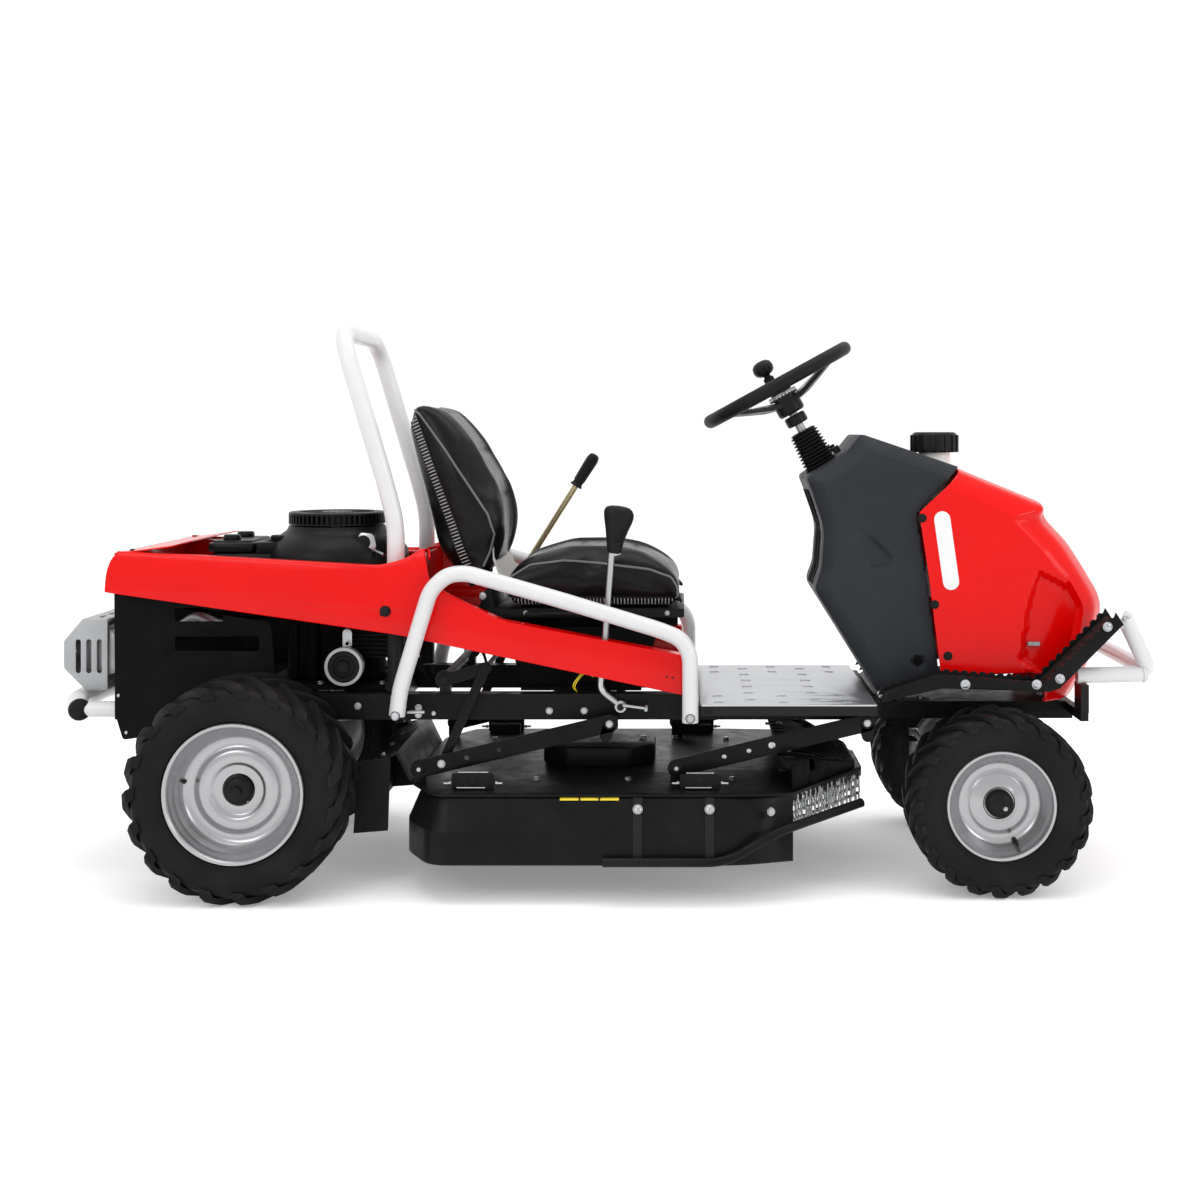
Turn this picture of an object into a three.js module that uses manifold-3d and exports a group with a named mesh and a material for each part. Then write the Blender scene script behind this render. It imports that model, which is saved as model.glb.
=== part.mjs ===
// Ride-on brush mower: chassis, rear engine, seat, steering, four wheels and a lifting cutter deck.
// Millimetres, +X forward, +Y to the machine's left, +Z up, origin on the ground below its middle.
import * as THREE from 'three';
import { mergeVertices } from 'three/addons/utils/BufferGeometryUtils.js';
import Module from 'manifold-3d';

const wasm = await Module();
wasm.setup();

// ---------- driving dimensions ----------
const GAP = 0.4;                 // clearance between touching pieces
const SHEET = 5;                 // pressed steel covers

const REAR_AXLE = { x: -794, z: 245, y: 370, radius: 245, width: 200, bead: 148 };
const FRONT_AXLE = { x: 893, z: 205, y: 322.5, radius: 205, width: 165, bead: 117 };
const KINGPIN_Y = 215;
const AXLE_PIVOT_Z = 300;
const STEER_ARM = 110;           // kingpin to tie rod, along X

const RAIL = { in: 216, out: 258, low: 374, high: 433, step: 413.5, rear: -1118, front: 640 };
const RAIL_MID = (RAIL.in + RAIL.out) / 2;
const TAIL_WALL = { in: 292, out: 298 };
const BEAM_TOP = 391;            // narrow front beam under the hood

const WHEEL_RIM_CENTRE = [418, 0, 1149];
const COLUMN_AXIS = [-0.482, 0, 0.876];
const STEERING_RIM = { radius: 186, tube: 16.5 };

const ARM_PIVOT_REAR = [20, 373];
const ARM_PIVOT_FRONT = [604, 375];
const ARM_VECTOR = [-432, -103];
const LIFT_SHAFT = [-361, 466];
const LIFT_CRANK = [-265, 493.9];
const LIFT_LINK_FOOT = [-361, 282];

const DRIVE_PIVOT = [44, 406];   // hand lever for driving, on the right rail

const CRANK_X = -660;            // vertical engine shaft
const SPINDLE_X = -20;           // vertical blade shaft
const BLADE_PIVOT = 260;

const DECK = { low: 86, high: 235, halfWidth: 440, rear: -440, tip: 615 };

// ---------- materials ----------
const finish = (color, roughness, metalness) =>
  () => new THREE.MeshStandardMaterial({ color, roughness, metalness });
const redPaint = finish(0xd80c0a, 0.25, 0.1);
const blackPaint = finish(0x17181a, 0.4, 0.2);
const whitePaint = finish(0xd9dadc, 0.35, 0.2);
const greyPaint = finish(0xa9abad, 0.45, 0.3);
const darkPlastic = finish(0x34363a, 0.7, 0);
const clearPlastic = finish(0xdedfd8, 0.5, 0);
const rubber = finish(0x141414, 0.85, 0);
const vinyl = finish(0x1a1b1d, 0.55, 0);
const zinc = finish(0xb5b0a0, 0.35, 0.8);
const bareSteel = finish(0x9a9c9f, 0.4, 0.9);
const castAlloy = finish(0x8d9093, 0.5, 0.7);
const treadPlate = finish(0xc3c6ca, 0.35, 0.9);

// ---------- solids ----------
function flipped(triangles) {
  const turned = triangles.slice();
  for (let i = 0; i < turned.length; i += 3) {
    turned[i] = triangles[i + 1];
    turned[i + 1] = triangles[i];
  }
  return turned;
}

function signedVolume(points, triangles) {
  const [a, b, c] = [new THREE.Vector3(), new THREE.Vector3(), new THREE.Vector3()];
  let volume = 0;
  for (let i = 0; i < triangles.length; i += 3) {
    a.fromArray(points, 3 * triangles[i]);
    b.fromArray(points, 3 * triangles[i + 1]);
    c.fromArray(points, 3 * triangles[i + 2]);
    volume += a.dot(b.cross(c)) / 6;
  }
  return volume;
}

function solid(geometry) {
  const bare = geometry.index ? geometry.toNonIndexed() : geometry.clone();
  bare.deleteAttribute('normal');
  bare.deleteAttribute('uv');
  const merged = mergeVertices(bare, 1e-3);
  const points = new Float32Array(merged.attributes.position.array);
  const all = merged.index.array;
  const kept = [];
  for (let i = 0; i < all.length; i += 3) {
    const [a, b, c] = [all[i], all[i + 1], all[i + 2]];
    if (a !== b && b !== c && c !== a) kept.push(a, b, c);
  }
  const facing = signedVolume(points, kept) < 0 ? flipped(kept) : kept;
  const mesh = new wasm.Mesh({
    numProp: 3, vertProperties: points, triVerts: new Uint32Array(facing),
  });
  return new wasm.Manifold(mesh);
}

const join = (...pieces) => pieces.reduce((whole, piece) => whole.add(piece));
const cut = (piece, ...tools) => tools.reduce((left, tool) => left.subtract(tool), piece);

function box(x, y, z) {
  const geometry = new THREE.BoxGeometry(x[1] - x[0], y[1] - y[0], z[1] - z[0]);
  geometry.translate((x[0] + x[1]) / 2, (y[0] + y[1]) / 2, (z[0] + z[1]) / 2);
  return solid(geometry);
}

// A span of Y measured outwards from the middle, on the right (-1) or the left (+1).
const onSide = (side, inner, outer) => [side * inner, side * outer].sort((a, b) => a - b);

function shapeOf(points) {
  return new THREE.Shape(points.map(([u, v]) => new THREE.Vector2(u, v)));
}

// An outline in X and Z, extruded along Y.
function sidePlate(points, y) {
  const geometry = new THREE.ExtrudeGeometry(shapeOf(points), {
    depth: y[1] - y[0], bevelEnabled: false,
  });
  geometry.rotateX(Math.PI / 2);
  geometry.translate(0, y[1], 0);
  return solid(geometry);
}

// An outline in X and Y, extruded along Z.
function floorPlate(points, z) {
  const geometry = new THREE.ExtrudeGeometry(shapeOf(points), {
    depth: z[1] - z[0], bevelEnabled: false,
  });
  geometry.translate(0, 0, z[0]);
  return solid(geometry);
}

// An outline in Y and Z, extruded along X.
function frontPlate(points, x) {
  const geometry = new THREE.ExtrudeGeometry(shapeOf(points), {
    depth: x[1] - x[0], bevelEnabled: false,
  });
  geometry.rotateX(Math.PI / 2);
  geometry.rotateZ(Math.PI / 2);
  geometry.translate(x[0], 0, 0);
  return solid(geometry);
}

function rod(from, to, radius, sides = 16) {
  const start = new THREE.Vector3(...from);
  const end = new THREE.Vector3(...to);
  const geometry = new THREE.CylinderGeometry(radius, radius, start.distanceTo(end), sides);
  const along = end.clone().sub(start).normalize();
  geometry.applyQuaternion(new THREE.Quaternion().setFromUnitVectors(THREE.Object3D.DEFAULT_UP, along));
  const middle = start.add(end).multiplyScalar(0.5);
  geometry.translate(middle.x, middle.y, middle.z);
  return solid(geometry);
}

// A profile of [radius, distance along the axis], turned about an axis through origin.
function turned(profile, origin, direction, sides = 24) {
  const geometry = new THREE.LatheGeometry(profile.map(([r, h]) => new THREE.Vector2(r, h)), sides);
  const along = new THREE.Vector3(...direction).normalize();
  geometry.applyQuaternion(new THREE.Quaternion().setFromUnitVectors(THREE.Object3D.DEFAULT_UP, along));
  geometry.translate(...origin);
  return solid(geometry);
}

// A path of straight runs joined by round bends, sampled only at its ends and along its bends.
class BentPath extends THREE.Curve {
  constructor(corners, bend, steps) {
    super();
    const points = corners.map((corner) => new THREE.Vector3(...corner));
    this.stations = [points[0]];
    for (let i = 1; i < points.length - 1; i++) {
      const back = points[i - 1].clone().sub(points[i]);
      const ahead = points[i + 1].clone().sub(points[i]);
      const trim = Math.min(bend, back.length() * 0.49, ahead.length() * 0.49);
      const enter = points[i].clone().addScaledVector(back.normalize(), trim);
      const leave = points[i].clone().addScaledVector(ahead.normalize(), trim);
      const arc = new THREE.QuadraticBezierCurve3(enter, points[i], leave);
      this.stations.push(...arc.getPoints(steps));
    }
    this.stations.push(points[points.length - 1]);
  }

  getPointAt(u) {
    const last = this.stations.length - 1;
    return this.stations[Math.round(u * last)].clone();
  }

  getTangentAt(u) {
    const last = this.stations.length - 1;
    const i = Math.round(u * last);
    const before = this.stations[Math.max(i - 1, 0)];
    const here = this.stations[i];
    const after = this.stations[Math.min(i + 1, last)];
    const arriving = here.clone().sub(before).normalize();
    const leaving = after.clone().sub(here).normalize();
    return arriving.add(leaving).normalize();
  }
}

function tube(corners, radius, bend = 60, sides = 10, steps = 3) {
  const path = new BentPath(corners, bend, steps);
  const ring = new THREE.Shape();
  ring.absarc(0, 0, radius, 0, 2 * Math.PI);
  const geometry = new THREE.ExtrudeGeometry(ring, {
    steps: path.stations.length - 1, extrudePath: path, curveSegments: sides / 2,
  });
  return solid(geometry);
}

// A flat bar with round ends between two points in X and Z.
function bar(a, b, radius, y) {
  const angle = Math.atan2(b[1] - a[1], b[0] - a[0]);
  const shape = new THREE.Shape();
  shape.absarc(a[0], a[1], radius, angle + Math.PI / 2, angle - Math.PI / 2 + 2 * Math.PI);
  shape.absarc(b[0], b[1], radius, angle - Math.PI / 2, angle + Math.PI / 2);
  const geometry = new THREE.ExtrudeGeometry(shape, {
    depth: y[1] - y[0], bevelEnabled: false, curveSegments: 3,
  });
  geometry.rotateX(Math.PI / 2);
  geometry.translate(0, y[1], 0);
  return solid(geometry);
}

const pinY = ([x, z], y, radius, sides = 10) => rod([x, y[0], z], [x, y[1], z], radius, sides);

const mower = new THREE.Group();

function add(name, manifold, material) {
  const made = manifold.getMesh();
  const geometry = new THREE.BufferGeometry();
  geometry.setAttribute('position', new THREE.BufferAttribute(made.vertProperties, 3));
  geometry.setIndex(new THREE.BufferAttribute(made.triVerts, 1));
  geometry.computeVertexNormals();
  const mesh = new THREE.Mesh(geometry, material());
  mesh.name = name;
  mower.add(mesh);
}

const SIDES = [{ side: -1, word: 'right' }, { side: 1, word: 'left' }];

// ---------- chassis ----------
function chassisFrame() {
  const railOutline = [
    [RAIL.rear, RAIL.low], [585, RAIL.low], [RAIL.front, 395], [RAIL.front, RAIL.step],
    [215, RAIL.step], [215, RAIL.high], [RAIL.rear, RAIL.high],
  ];
  const full = [-RAIL.out, RAIL.out];
  const pieces = [
    box([RAIL.rear, RAIL.rear + 24], full, [RAIL.low, RAIL.high]),
    box([-530, -495], full, [RAIL.low, 400]),
    box([-20, 20], full, [RAIL.low + 6, RAIL.high]),
    box([600, RAIL.front], full, [RAIL.low + 6, RAIL.step]),
    box([625, RAIL.rear * -1], [-100, 100], [350, BEAM_TOP]),
    box([1100, 1118], full, [370, BEAM_TOP]),
    box([848, 863], [-45, 45], [268, 352]),
    box([923, 938], [-45, 45], [268, 352]),
    rod([850, 0, AXLE_PIVOT_Z], [936, 0, AXLE_PIVOT_Z], 12),
    pinY(DRIVE_PIVOT, [-284, -RAIL.out + 1], 8),
  ];
  for (const { side } of SIDES) {
    pieces.push(sidePlate(railOutline, onSide(side, RAIL.in, RAIL.out)));
    pieces.push(box([1100, 1118], onSide(side, 196, 262), [BEAM_TOP - 1, 453.5]));
    for (const pivot of [ARM_PIVOT_REAR, ARM_PIVOT_FRONT]) {
      const [x, z] = pivot;
      pieces.push(box([x - 18, x + 18], onSide(side, RAIL.out - 1, 296), [z - 14, z + 16]));
      pieces.push(pinY(pivot, onSide(side, 295, 313), 10));
    }
    pieces.push(box([LIFT_SHAFT[0] - 12, LIFT_SHAFT[0] + 12], onSide(side, 222, 252), [432, 453.2]));
  }
  return join(...pieces);
}

// ---------- tail ----------
const TAIL_SIDE = [
  [-1129, 670], [-1125, 720], [-1106, 761], [-503, 727], [-446, 743], [-401, 770],
  [-389, 686], [-230, 606], [185, 527], [185, 436], [-458, 572],
];

function tailShell() {
  const wide = [-TAIL_WALL.out, TAIL_WALL.out];
  const pieces = [
    sidePlate([[-1129, 670], [-1125, 720], [-1106, 761], [-975, 778], [-975, 772],
      [-1103, 755], [-1120, 718], [-1124, 670]], wide),
    sidePlate([[-448, 572], [-442, 572], [-442, 738], [-448, 738]], wide),
  ];
  for (const { side } of SIDES) {
    pieces.push(sidePlate(TAIL_SIDE, onSide(side, TAIL_WALL.in, TAIL_WALL.out)));
    pieces.push(sidePlate([[-1106, 755], [-1106, 761], [-503, 727], [-446, 743], [-401, 770],
      [-403, 763], [-447, 737], [-503, 721]], onSide(side, 215, 293)));
    pieces.push(sidePlate([[-230, 600], [-230, 606], [185, 527], [185, 521]],
      onSide(side, 250, 293)));
    pieces.push(sidePlate([[-401, 770], [-389, 686], [-230, 606], [-230, 600], [-394, 682],
      [-406, 764]], onSide(side, 284, 293)));
  }
  const hoopHole = ({ side }) => rod([-476, side * RAIL_MID, 700], [-476, side * RAIL_MID, 760], 22.5);
  const leverSlot = box([-48, 66], [-281, -259], [540, 600]);
  return cut(join(...pieces), ...SIDES.map(hoopHole), leverSlot);
}

function rearSidePanel(side) {
  const outline = [[-1118, 655], [-1116, 388], [-1098, 328], [-742, 379], [-754, 575]];
  const slots = [];
  for (const [z, x] of [[560, -1040], [620, -1010]]) {
    for (let i = 0; i < 3; i++) {
      slots.push(box([x + 48 * i, x + 48 * i + 36], onSide(side, 250, 270), [z - 6, z + 6]));
    }
  }
  return cut(sidePlate(outline, onSide(side, RAIL.out + GAP, RAIL.out + SHEET)), ...slots);
}

function rearBumper() {
  const bow = [[-1203, -250, 395], [-1256, -120, 395], [-1256, 120, 395], [-1203, 250, 395]];
  const arms = SIDES.map(({ side }) =>
    rod([RAIL.rear - GAP, side * RAIL_MID, 395], [-1210, side * RAIL_MID, 395], 18.5));
  return join(tube(bow, 25, 60, 12), ...arms);
}

const GUARD_CAGE = [
  [-1171, 593], [-1230, 593], [-1274, 541], [-1274, 477], [-1222, 425], [-1171, 425],
];

function mufflerGuard() {
  const inner = [
    [-1160, 589], [-1228, 589], [-1270, 539], [-1270, 479], [-1221, 429], [-1160, 429],
  ];
  const band = cut(sidePlate(GUARD_CAGE, [-152, 152]), sidePlate(inner, [-160, 160]));
  const pieces = [band];
  for (const { side } of SIDES) {
    const y = onSide(side, 148, 152);
    const slots = [-1240, -1215, -1190].map((x) => box([x - 6, x + 6], [-170, 170], [465, 545]));
    pieces.push(cut(sidePlate(GUARD_CAGE, y), ...slots));
    pieces.push(box([-1172, RAIL.rear - GAP], y, [405, 440]));
  }
  return join(...pieces);
}

// ---------- engine ----------
function engineBlock() {
  const crankcase = rod([CRANK_X, 0, 440], [CRANK_X, 0, 600], 118, 24);
  const foot = box([-800, -505], [-205, 205], [RAIL.high + 0.5, 446]);
  const heads = SIDES.map(({ side }) =>
    box([-600, -500], onSide(side, 40, 150), [500, 598]));
  const exhaust = SIDES.map(({ side }) =>
    box([-860, -640], onSide(side, 60, 130), [520, 590]));
  const bore = rod([CRANK_X, 0, 400], [CRANK_X, 0, 620], 17);
  return cut(join(crankcase, foot, ...heads, ...exhaust), bore);
}

function blowerCover() {
  const body = turned([[0, 600 + GAP], [172, 600 + GAP], [172, 700], [150, 770], [132, 800],
    [120, 806], [0, 806]], [CRANK_X, 0, 0], [0, 0, 1], 28);
  const rearHousing = box([-945, -760], [-105, 105], [640, 746.5]);
  const hollow = turned([[0, 590], [166, 590], [166, 700], [145, 766], [112, 796], [112, 820],
    [0, 820]], [CRANK_X, 0, 0], [0, 0, 1], 28);
  return cut(join(body, rearHousing), hollow);
}

function crankAssembly() {
  const shaft = rod([CRANK_X, 0, 330], [CRANK_X, 0, 812], 15);
  const screen = turned([[0, 810], [116, 810], [116, 818], [96, 840], [0, 840]],
    [CRANK_X, 0, 0], [0, 0, 1], 28);
  const pulley = turned([[0, 336], [62, 336], [52, 350], [62, 364], [0, 364]],
    [CRANK_X, 0, 0], [0, 0, 1], 24);
  return join(shaft, screen, pulley);
}

function transaxle() {
  const { x, z } = REAR_AXLE;
  const pieces = [
    box([-900, -745], [-110, 110], [165, 325]),
    rod([-850, 0, 320], [-850, 0, 352], 60, 24),
    rod([x, -255, z], [x, 255, z], 36, 20),
  ];
  for (const { side } of SIDES) {
    pieces.push(box([-830, -758], onSide(side, 218, 248), [z - 20, RAIL.low - GAP]));
  }
  return join(...pieces);
}

// ---------- roll-over hoop and guards ----------
function ropsHoop() {
  const leg = (y) => [[-476, y, RAIL.high + GAP], [-476, y, 822], [-497, y, 905], [-606, y, 1268.5]];
  const right = leg(-RAIL_MID);
  const left = leg(RAIL_MID).reverse();
  return tube([...right, ...left], 20.5, 85, 12, 4);
}

function sideGuard(side) {
  const y = side * 330;
  const route = [
    [-458, 395], [-451, 453], [-383, 678], [-345, 712], [-304, 717], [-90, 656], [135, 588],
    [185, 570], [203, 532], [203, 380],
  ].map(([x, z]) => [x, y, z]);
  return join(
    tube(route, 18.5, 28, 10, 3),
    box([-474, -444], onSide(side, RAIL.out + GAP, 322), [386, 408]),
    box([190, 216], onSide(side, RAIL.out + GAP, 322), [380, 402]),
  );
}

// ---------- footplate, dash, hood, steps, bumper ----------
function footplate() {
  const pieces = [box([225, 627], [-320, 320], [RAIL.step + GAP, 418])];
  for (const { side } of SIDES) {
    pieces.push(box([225, 627], onSide(side, 315, 320), [393, 418]));
  }
  return join(...pieces);
}

const DASH_SIDE = [
  [478, 926], [568, 980], [608, 1030], [838, 952], [734, 844], [756, 710], [788, 471],
  [664, 395], [497, 663], [514, 710], [521, 804], [490, 898],
];
const DASH_HOLLOW = [
  [486, 924], [571, 974], [610, 1023], [870, 935], [770, 844], [790, 710], [830, 440],
  [664, 380], [503, 664], [520, 709], [527, 805], [496, 899],
];

const alongColumn = (distance) => WHEEL_RIM_CENTRE.map((c, i) => c - COLUMN_AXIS[i] * distance);

function dashColumn() {
  const shell = cut(sidePlate(DASH_SIDE, [-170, 170]), sidePlate(DASH_HOLLOW, [-165, 165]));
  return cut(shell, rod(alongColumn(120), alongColumn(280), 47, 20),
    rod([803, 0, 900], [803, 0, 1040], 42, 20));
}

// The hood is lofted: its nose bulges forward and its edges pull in towards the sides.
function hoodLoft(inset, rearReach, halfWidth) {
  const outline = [
    [838, 951], [1045, 866], [1062, 828], [1115, 772], [1160, 702], [1190, 650], [1198, 620],
    [1180, 505], [1118, 402], [1036, 406], [1022, 496], [791, 474], [760, 710], [739, 846],
  ];
  const nose = new Set([2, 3, 4, 5, 6, 7, 8]);
  const stations = [-1, -0.82, -0.45, 0, 0.45, 0.82, 1];
  const middle = [960, 680];
  const rings = stations.map((t) => outline.map(([x, z], i) => {
    const pull = nose.has(i) ? -42 * t * t : 0;
    const crown = i < 2 ? -18 * t ** 4 : 0;
    const px = x + pull;
    const pz = z + crown;
    const length = Math.hypot(px - middle[0], pz - middle[1]);
    const scale = (length - inset) / length;
    const rear = i >= 11 || i === 0 ? rearReach : 0;
    const under = i === 8 || i === 9 ? -rearReach : 0;
    return [middle[0] + (px - middle[0]) * scale - rear, t * halfWidth,
      middle[1] + (pz - middle[1]) * scale + under];
  }));
  const count = outline.length;
  const cap = THREE.ShapeUtils.triangulateShape(
    outline.map(([x, z]) => new THREE.Vector2(x, z)), []);
  const index = [];
  for (const [a, b, c] of cap) {
    index.push(a, c, b);
    const end = count * (rings.length - 1);
    index.push(end + a, end + b, end + c);
  }
  for (let r = 0; r < rings.length - 1; r++) {
    for (let i = 0; i < count; i++) {
      const next = (i + 1) % count;
      const [a, b, c, d] = [r * count + i, r * count + next, (r + 1) * count + i,
        (r + 1) * count + next];
      index.push(a, c, b, b, c, d);
    }
  }
  const geometry = new THREE.BufferGeometry();
  geometry.setAttribute('position', new THREE.Float32BufferAttribute(rings.flat(2), 3));
  geometry.setIndex(index);
  return solid(geometry);
}

function noseHood() {
  const neckHole = rod([803, 0, 880], [803, 0, 1000], 42, 20);
  return cut(hoodLoft(0, 0, 190), hoodLoft(6, 40, 184), neckHole);
}

function fuelTank() {
  const tank = box([800, 1000], [-140, 140], [620, 800]);
  const neck = rod([803, 0, 798], [803, 0, 984], 38, 20);
  return join(cut(tank), neck);
}

function sideStep(side) {
  const outline = [
    [640, 421], [778, 452], [1020, 444], [1043, 452], [1188, 597], [1170, 625], [1008, 464],
    [774, 482], [648, 440],
  ];
  const tread = [
    [660, 410], [778, 434], [1030, 426], [1056, 434], [1215, 590], [1170, 607], [1012, 448],
    [774, 466], [655, 430],
  ];
  return cut(sidePlate(outline, onSide(side, 200, 300)), sidePlate(tread, onSide(side, 205, 295)));
}

function frontBumper() {
  const y = 243;
  const hoop = [[1208, -y, 600], [1262, -y, 485], [1262, y, 485], [1208, y, 600]];
  const lower = SIDES.map(({ side }) => rod([1096, side * y, 473], [1258, side * y, 477], 18.5, 12));
  return join(tube(hoop, 18.8, 34, 12, 4), ...lower);
}

// ---------- seat ----------
const CUSHION_SIDE = [
  [-241, 704], [-190, 727], [-98, 757], [41, 757], [157, 727], [194, 692], [203, 646],
  [199, 624], [-236, 624], [-248, 680],
];
const BACK_SIDE = [
  [-468, 1104], [-426, 1120], [-375, 1085], [-329, 1034], [-236, 877], [-220, 819], [-241, 773],
  [-262, 715], [-306, 652], [-375, 738],
];

function seatPan() {
  const side = [
    [-300, 600.5], [190, 600.5], [190, 622], [-252, 622], [-262, 664], [-278, 664], [-285, 640],
  ];
  return sidePlate(side, [-190, 190]);
}

function seatSupport() {
  const legs = cut(
    sidePlate([[-190, 434], [90, 434], [130, 576], [-230, 576]], [-165, 165]),
    sidePlate([[-184, 430], [84, 430], [122, 570], [-222, 570]], [-160, 160]),
  );
  const rails = SIDES.map(({ side }) => box([-290, 175], onSide(side, 110, 140), [575, 600]));
  const feet = box([-190, 90], [-214, 214], [RAIL.high + 1, 440]);
  return join(legs, cut(feet, box([-180, 80], [-158, 158], [425, 445])), ...rails);
}

// ---------- wheels ----------
function tyre(axle, side) {
  const { radius: r, width, bead } = axle;
  const half = width / 2;
  const wall = r - bead;
  const profile = [
    [bead, -half * 0.86], [bead + wall * 0.4, -half], [r - wall * 0.25, -half * 0.97],
    [r, -half * 0.72], [r, half * 0.72], [r - wall * 0.25, half * 0.97], [bead + wall * 0.4, half],
    [bead, half * 0.86], [bead, half * 0.7], [r - 26, half * 0.66], [r - 26, -half * 0.66],
    [bead, -half * 0.7],
  ];
  return turned([...profile, profile[0]], [axle.x, side * axle.y, axle.z], [0, side, 0], 24);
}

function rearRim(side) {
  const b = REAR_AXLE.bead - GAP;
  const profile = [
    [0, -114], [30, -114], [30, 0], [62, 8], [100, 20], [b - 6, 32], [b - 6, -86], [b, -86],
    [b, 86], [b - 6, 86], [b - 6, 42], [100, 30], [62, 20], [40, 44], [0, 44],
  ];
  return turned(profile, [REAR_AXLE.x, side * REAR_AXLE.y, REAR_AXLE.z], [0, side, 0], 24);
}

function frontRim(side) {
  const b = FRONT_AXLE.bead - GAP;
  const profile = [
    [16, -50], [34, -50], [34, 2], [56, 8], [b - 6, 22], [b - 6, -71], [b, -71], [b, 71],
    [b - 6, 71], [b - 6, 32], [56, 18], [40, 36], [36, 58], [16, 58], [16, -50],
  ];
  return turned(profile, [FRONT_AXLE.x, side * FRONT_AXLE.y, FRONT_AXLE.z], [0, side, 0], 24);
}

// ---------- front axle and steering ----------
function frontAxle() {
  const x = [FRONT_AXLE.x - 27, FRONT_AXLE.x + 27];
  const beam = frontPlate([[-205, 272], [205, 272], [205, 312], [60, 330], [-60, 330],
    [-205, 312]], x);
  const sleeves = SIDES.map(({ side }) =>
    rod([FRONT_AXLE.x, side * KINGPIN_Y, 262], [FRONT_AXLE.x, side * KINGPIN_Y, 318], 24, 20));
  const bores = SIDES.map(({ side }) =>
    rod([FRONT_AXLE.x, side * KINGPIN_Y, 250], [FRONT_AXLE.x, side * KINGPIN_Y, 330], 12.6, 16));
  const pivot = rod([FRONT_AXLE.x - 40, 0, AXLE_PIVOT_Z], [FRONT_AXLE.x + 40, 0, AXLE_PIVOT_Z], 13);
  return cut(join(beam, ...sleeves), ...bores, pivot);
}

function knuckle(side) {
  const { x, z, y } = FRONT_AXLE;
  const pinLine = side * KINGPIN_Y;
  return join(
    rod([x, pinLine, z - 22], [x, pinLine, 330], 12, 16),
    rod([x, pinLine, 319], [x, pinLine, 332], 19, 16),
    rod([x, pinLine, z - 22], [x, pinLine, 255], 20, 16),
    rod([x, pinLine, z], [x, side * (y + 50), z], 15, 16),
    box([x - STEER_ARM - 10, x], onSide(side, KINGPIN_Y - 10, KINGPIN_Y + 10), [238, 249]),
  );
}

function tieRod() {
  const x = FRONT_AXLE.x - STEER_ARM;
  const eyes = SIDES.map(({ side }) =>
    rod([x, side * KINGPIN_Y, 252], [x, side * KINGPIN_Y, 273], 13));
  return join(rod([x, -KINGPIN_Y, 263], [x, KINGPIN_Y, 263], 7, 12), ...eyes);
}

function steeringWheel() {
  const { radius, tube: thick } = STEERING_RIM;
  const ring = new THREE.TorusGeometry(radius, thick, 8, 24);
  const up = new THREE.Vector3(...COLUMN_AXIS).normalize();
  ring.applyQuaternion(new THREE.Quaternion().setFromUnitVectors(new THREE.Vector3(0, 0, 1), up));
  ring.translate(...WHEEL_RIM_CENTRE);
  const hubFoot = alongColumn(78);
  const hub = rod(alongColumn(28), hubFoot, 34, 20);
  const shaft = rod(alongColumn(60), alongColumn(730), 11, 14);
  const forward = [-COLUMN_AXIS[2] * -1, 0, -COLUMN_AXIS[0]];
  const spokes = [90, 210, 330].map((degrees) => {
    const angle = THREE.MathUtils.degToRad(degrees);
    const reach = (r, drop) => alongColumn(drop).map((c, i) => c
      + r * (Math.cos(angle) * forward[i] + Math.sin(angle) * (i === 1 ? 1 : 0)));
    return rod(reach(14, 50), reach(radius, 0), 9, 8);
  });
  return join(solid(ring), hub, shaft, ...spokes);
}

function spinnerKnob() {
  const up = COLUMN_AXIS;
  const base = [WHEEL_RIM_CENTRE[0], STEERING_RIM.radius, WHEEL_RIM_CENTRE[2]];
  const foot = STEERING_RIM.tube + GAP;
  return turned([[0, foot], [14, foot], [14, foot + 12], [25, foot + 22], [27, foot + 40],
    [18, foot + 54], [0, foot + 57]], base, up, 16);
}

function steeringBoot() {
  const profile = [[13, 0], [36, 0], [30, 8], [38, 16], [32, 24], [40, 32], [34, 40], [42, 48],
    [36, 56], [44, 64], [38, 72], [45, 80], [45, 96], [13, 96], [13, 0]];
  const down = COLUMN_AXIS.map((c) => -c);
  return turned(profile, alongColumn(128), down, 16);
}

function steeringGear() {
  return sidePlate([[705, 391.5], [784, 391.5], [784, 460], [775, 496], [735, 496]], [-48, 48]);
}

// ---------- deck lift ----------
const plus = (a, b) => [a[0] + b[0], a[1] + b[1]];

function liftArms(pivot, deckBore, tubeOffset) {
  const end = plus(pivot, ARM_VECTOR);
  const middle = plus(pivot, tubeOffset);
  const pieces = [pinY(middle, [-306, 306], 12)];
  for (const { side } of SIDES) {
    const plate = join(
      bar(pivot, end, 20, onSide(side, 300, 308)),
      bar(pivot, middle, 14, onSide(side, 300, 308)),
    );
    pieces.push(cut(plate, pinY(pivot, [-340, 340], 10.6), pinY(end, [-340, 340], deckBore)));
    if (pivot === ARM_PIVOT_REAR) pieces.push(pinY(LIFT_LINK_FOOT, onSide(side, 283, 302), 6));
  }
  return join(...pieces);
}

function liftLever() {
  const leverY = 268;
  const tip = [-41, leverY, 974];
  const start = [LIFT_SHAFT[0], leverY, LIFT_SHAFT[1]];
  const pieces = [
    pinY(LIFT_SHAFT, [-277, 277], 12),
    rod(start, tip, 8, 10),
    rod([-89, leverY, 898], tip, 15, 12),
  ];
  for (const { side } of SIDES) {
    pieces.push(cut(bar(LIFT_SHAFT, LIFT_CRANK, 14, onSide(side, 269, 275)),
      pinY(LIFT_CRANK, [-320, 320], 6.6)));
  }
  return join(...pieces);
}

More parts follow.
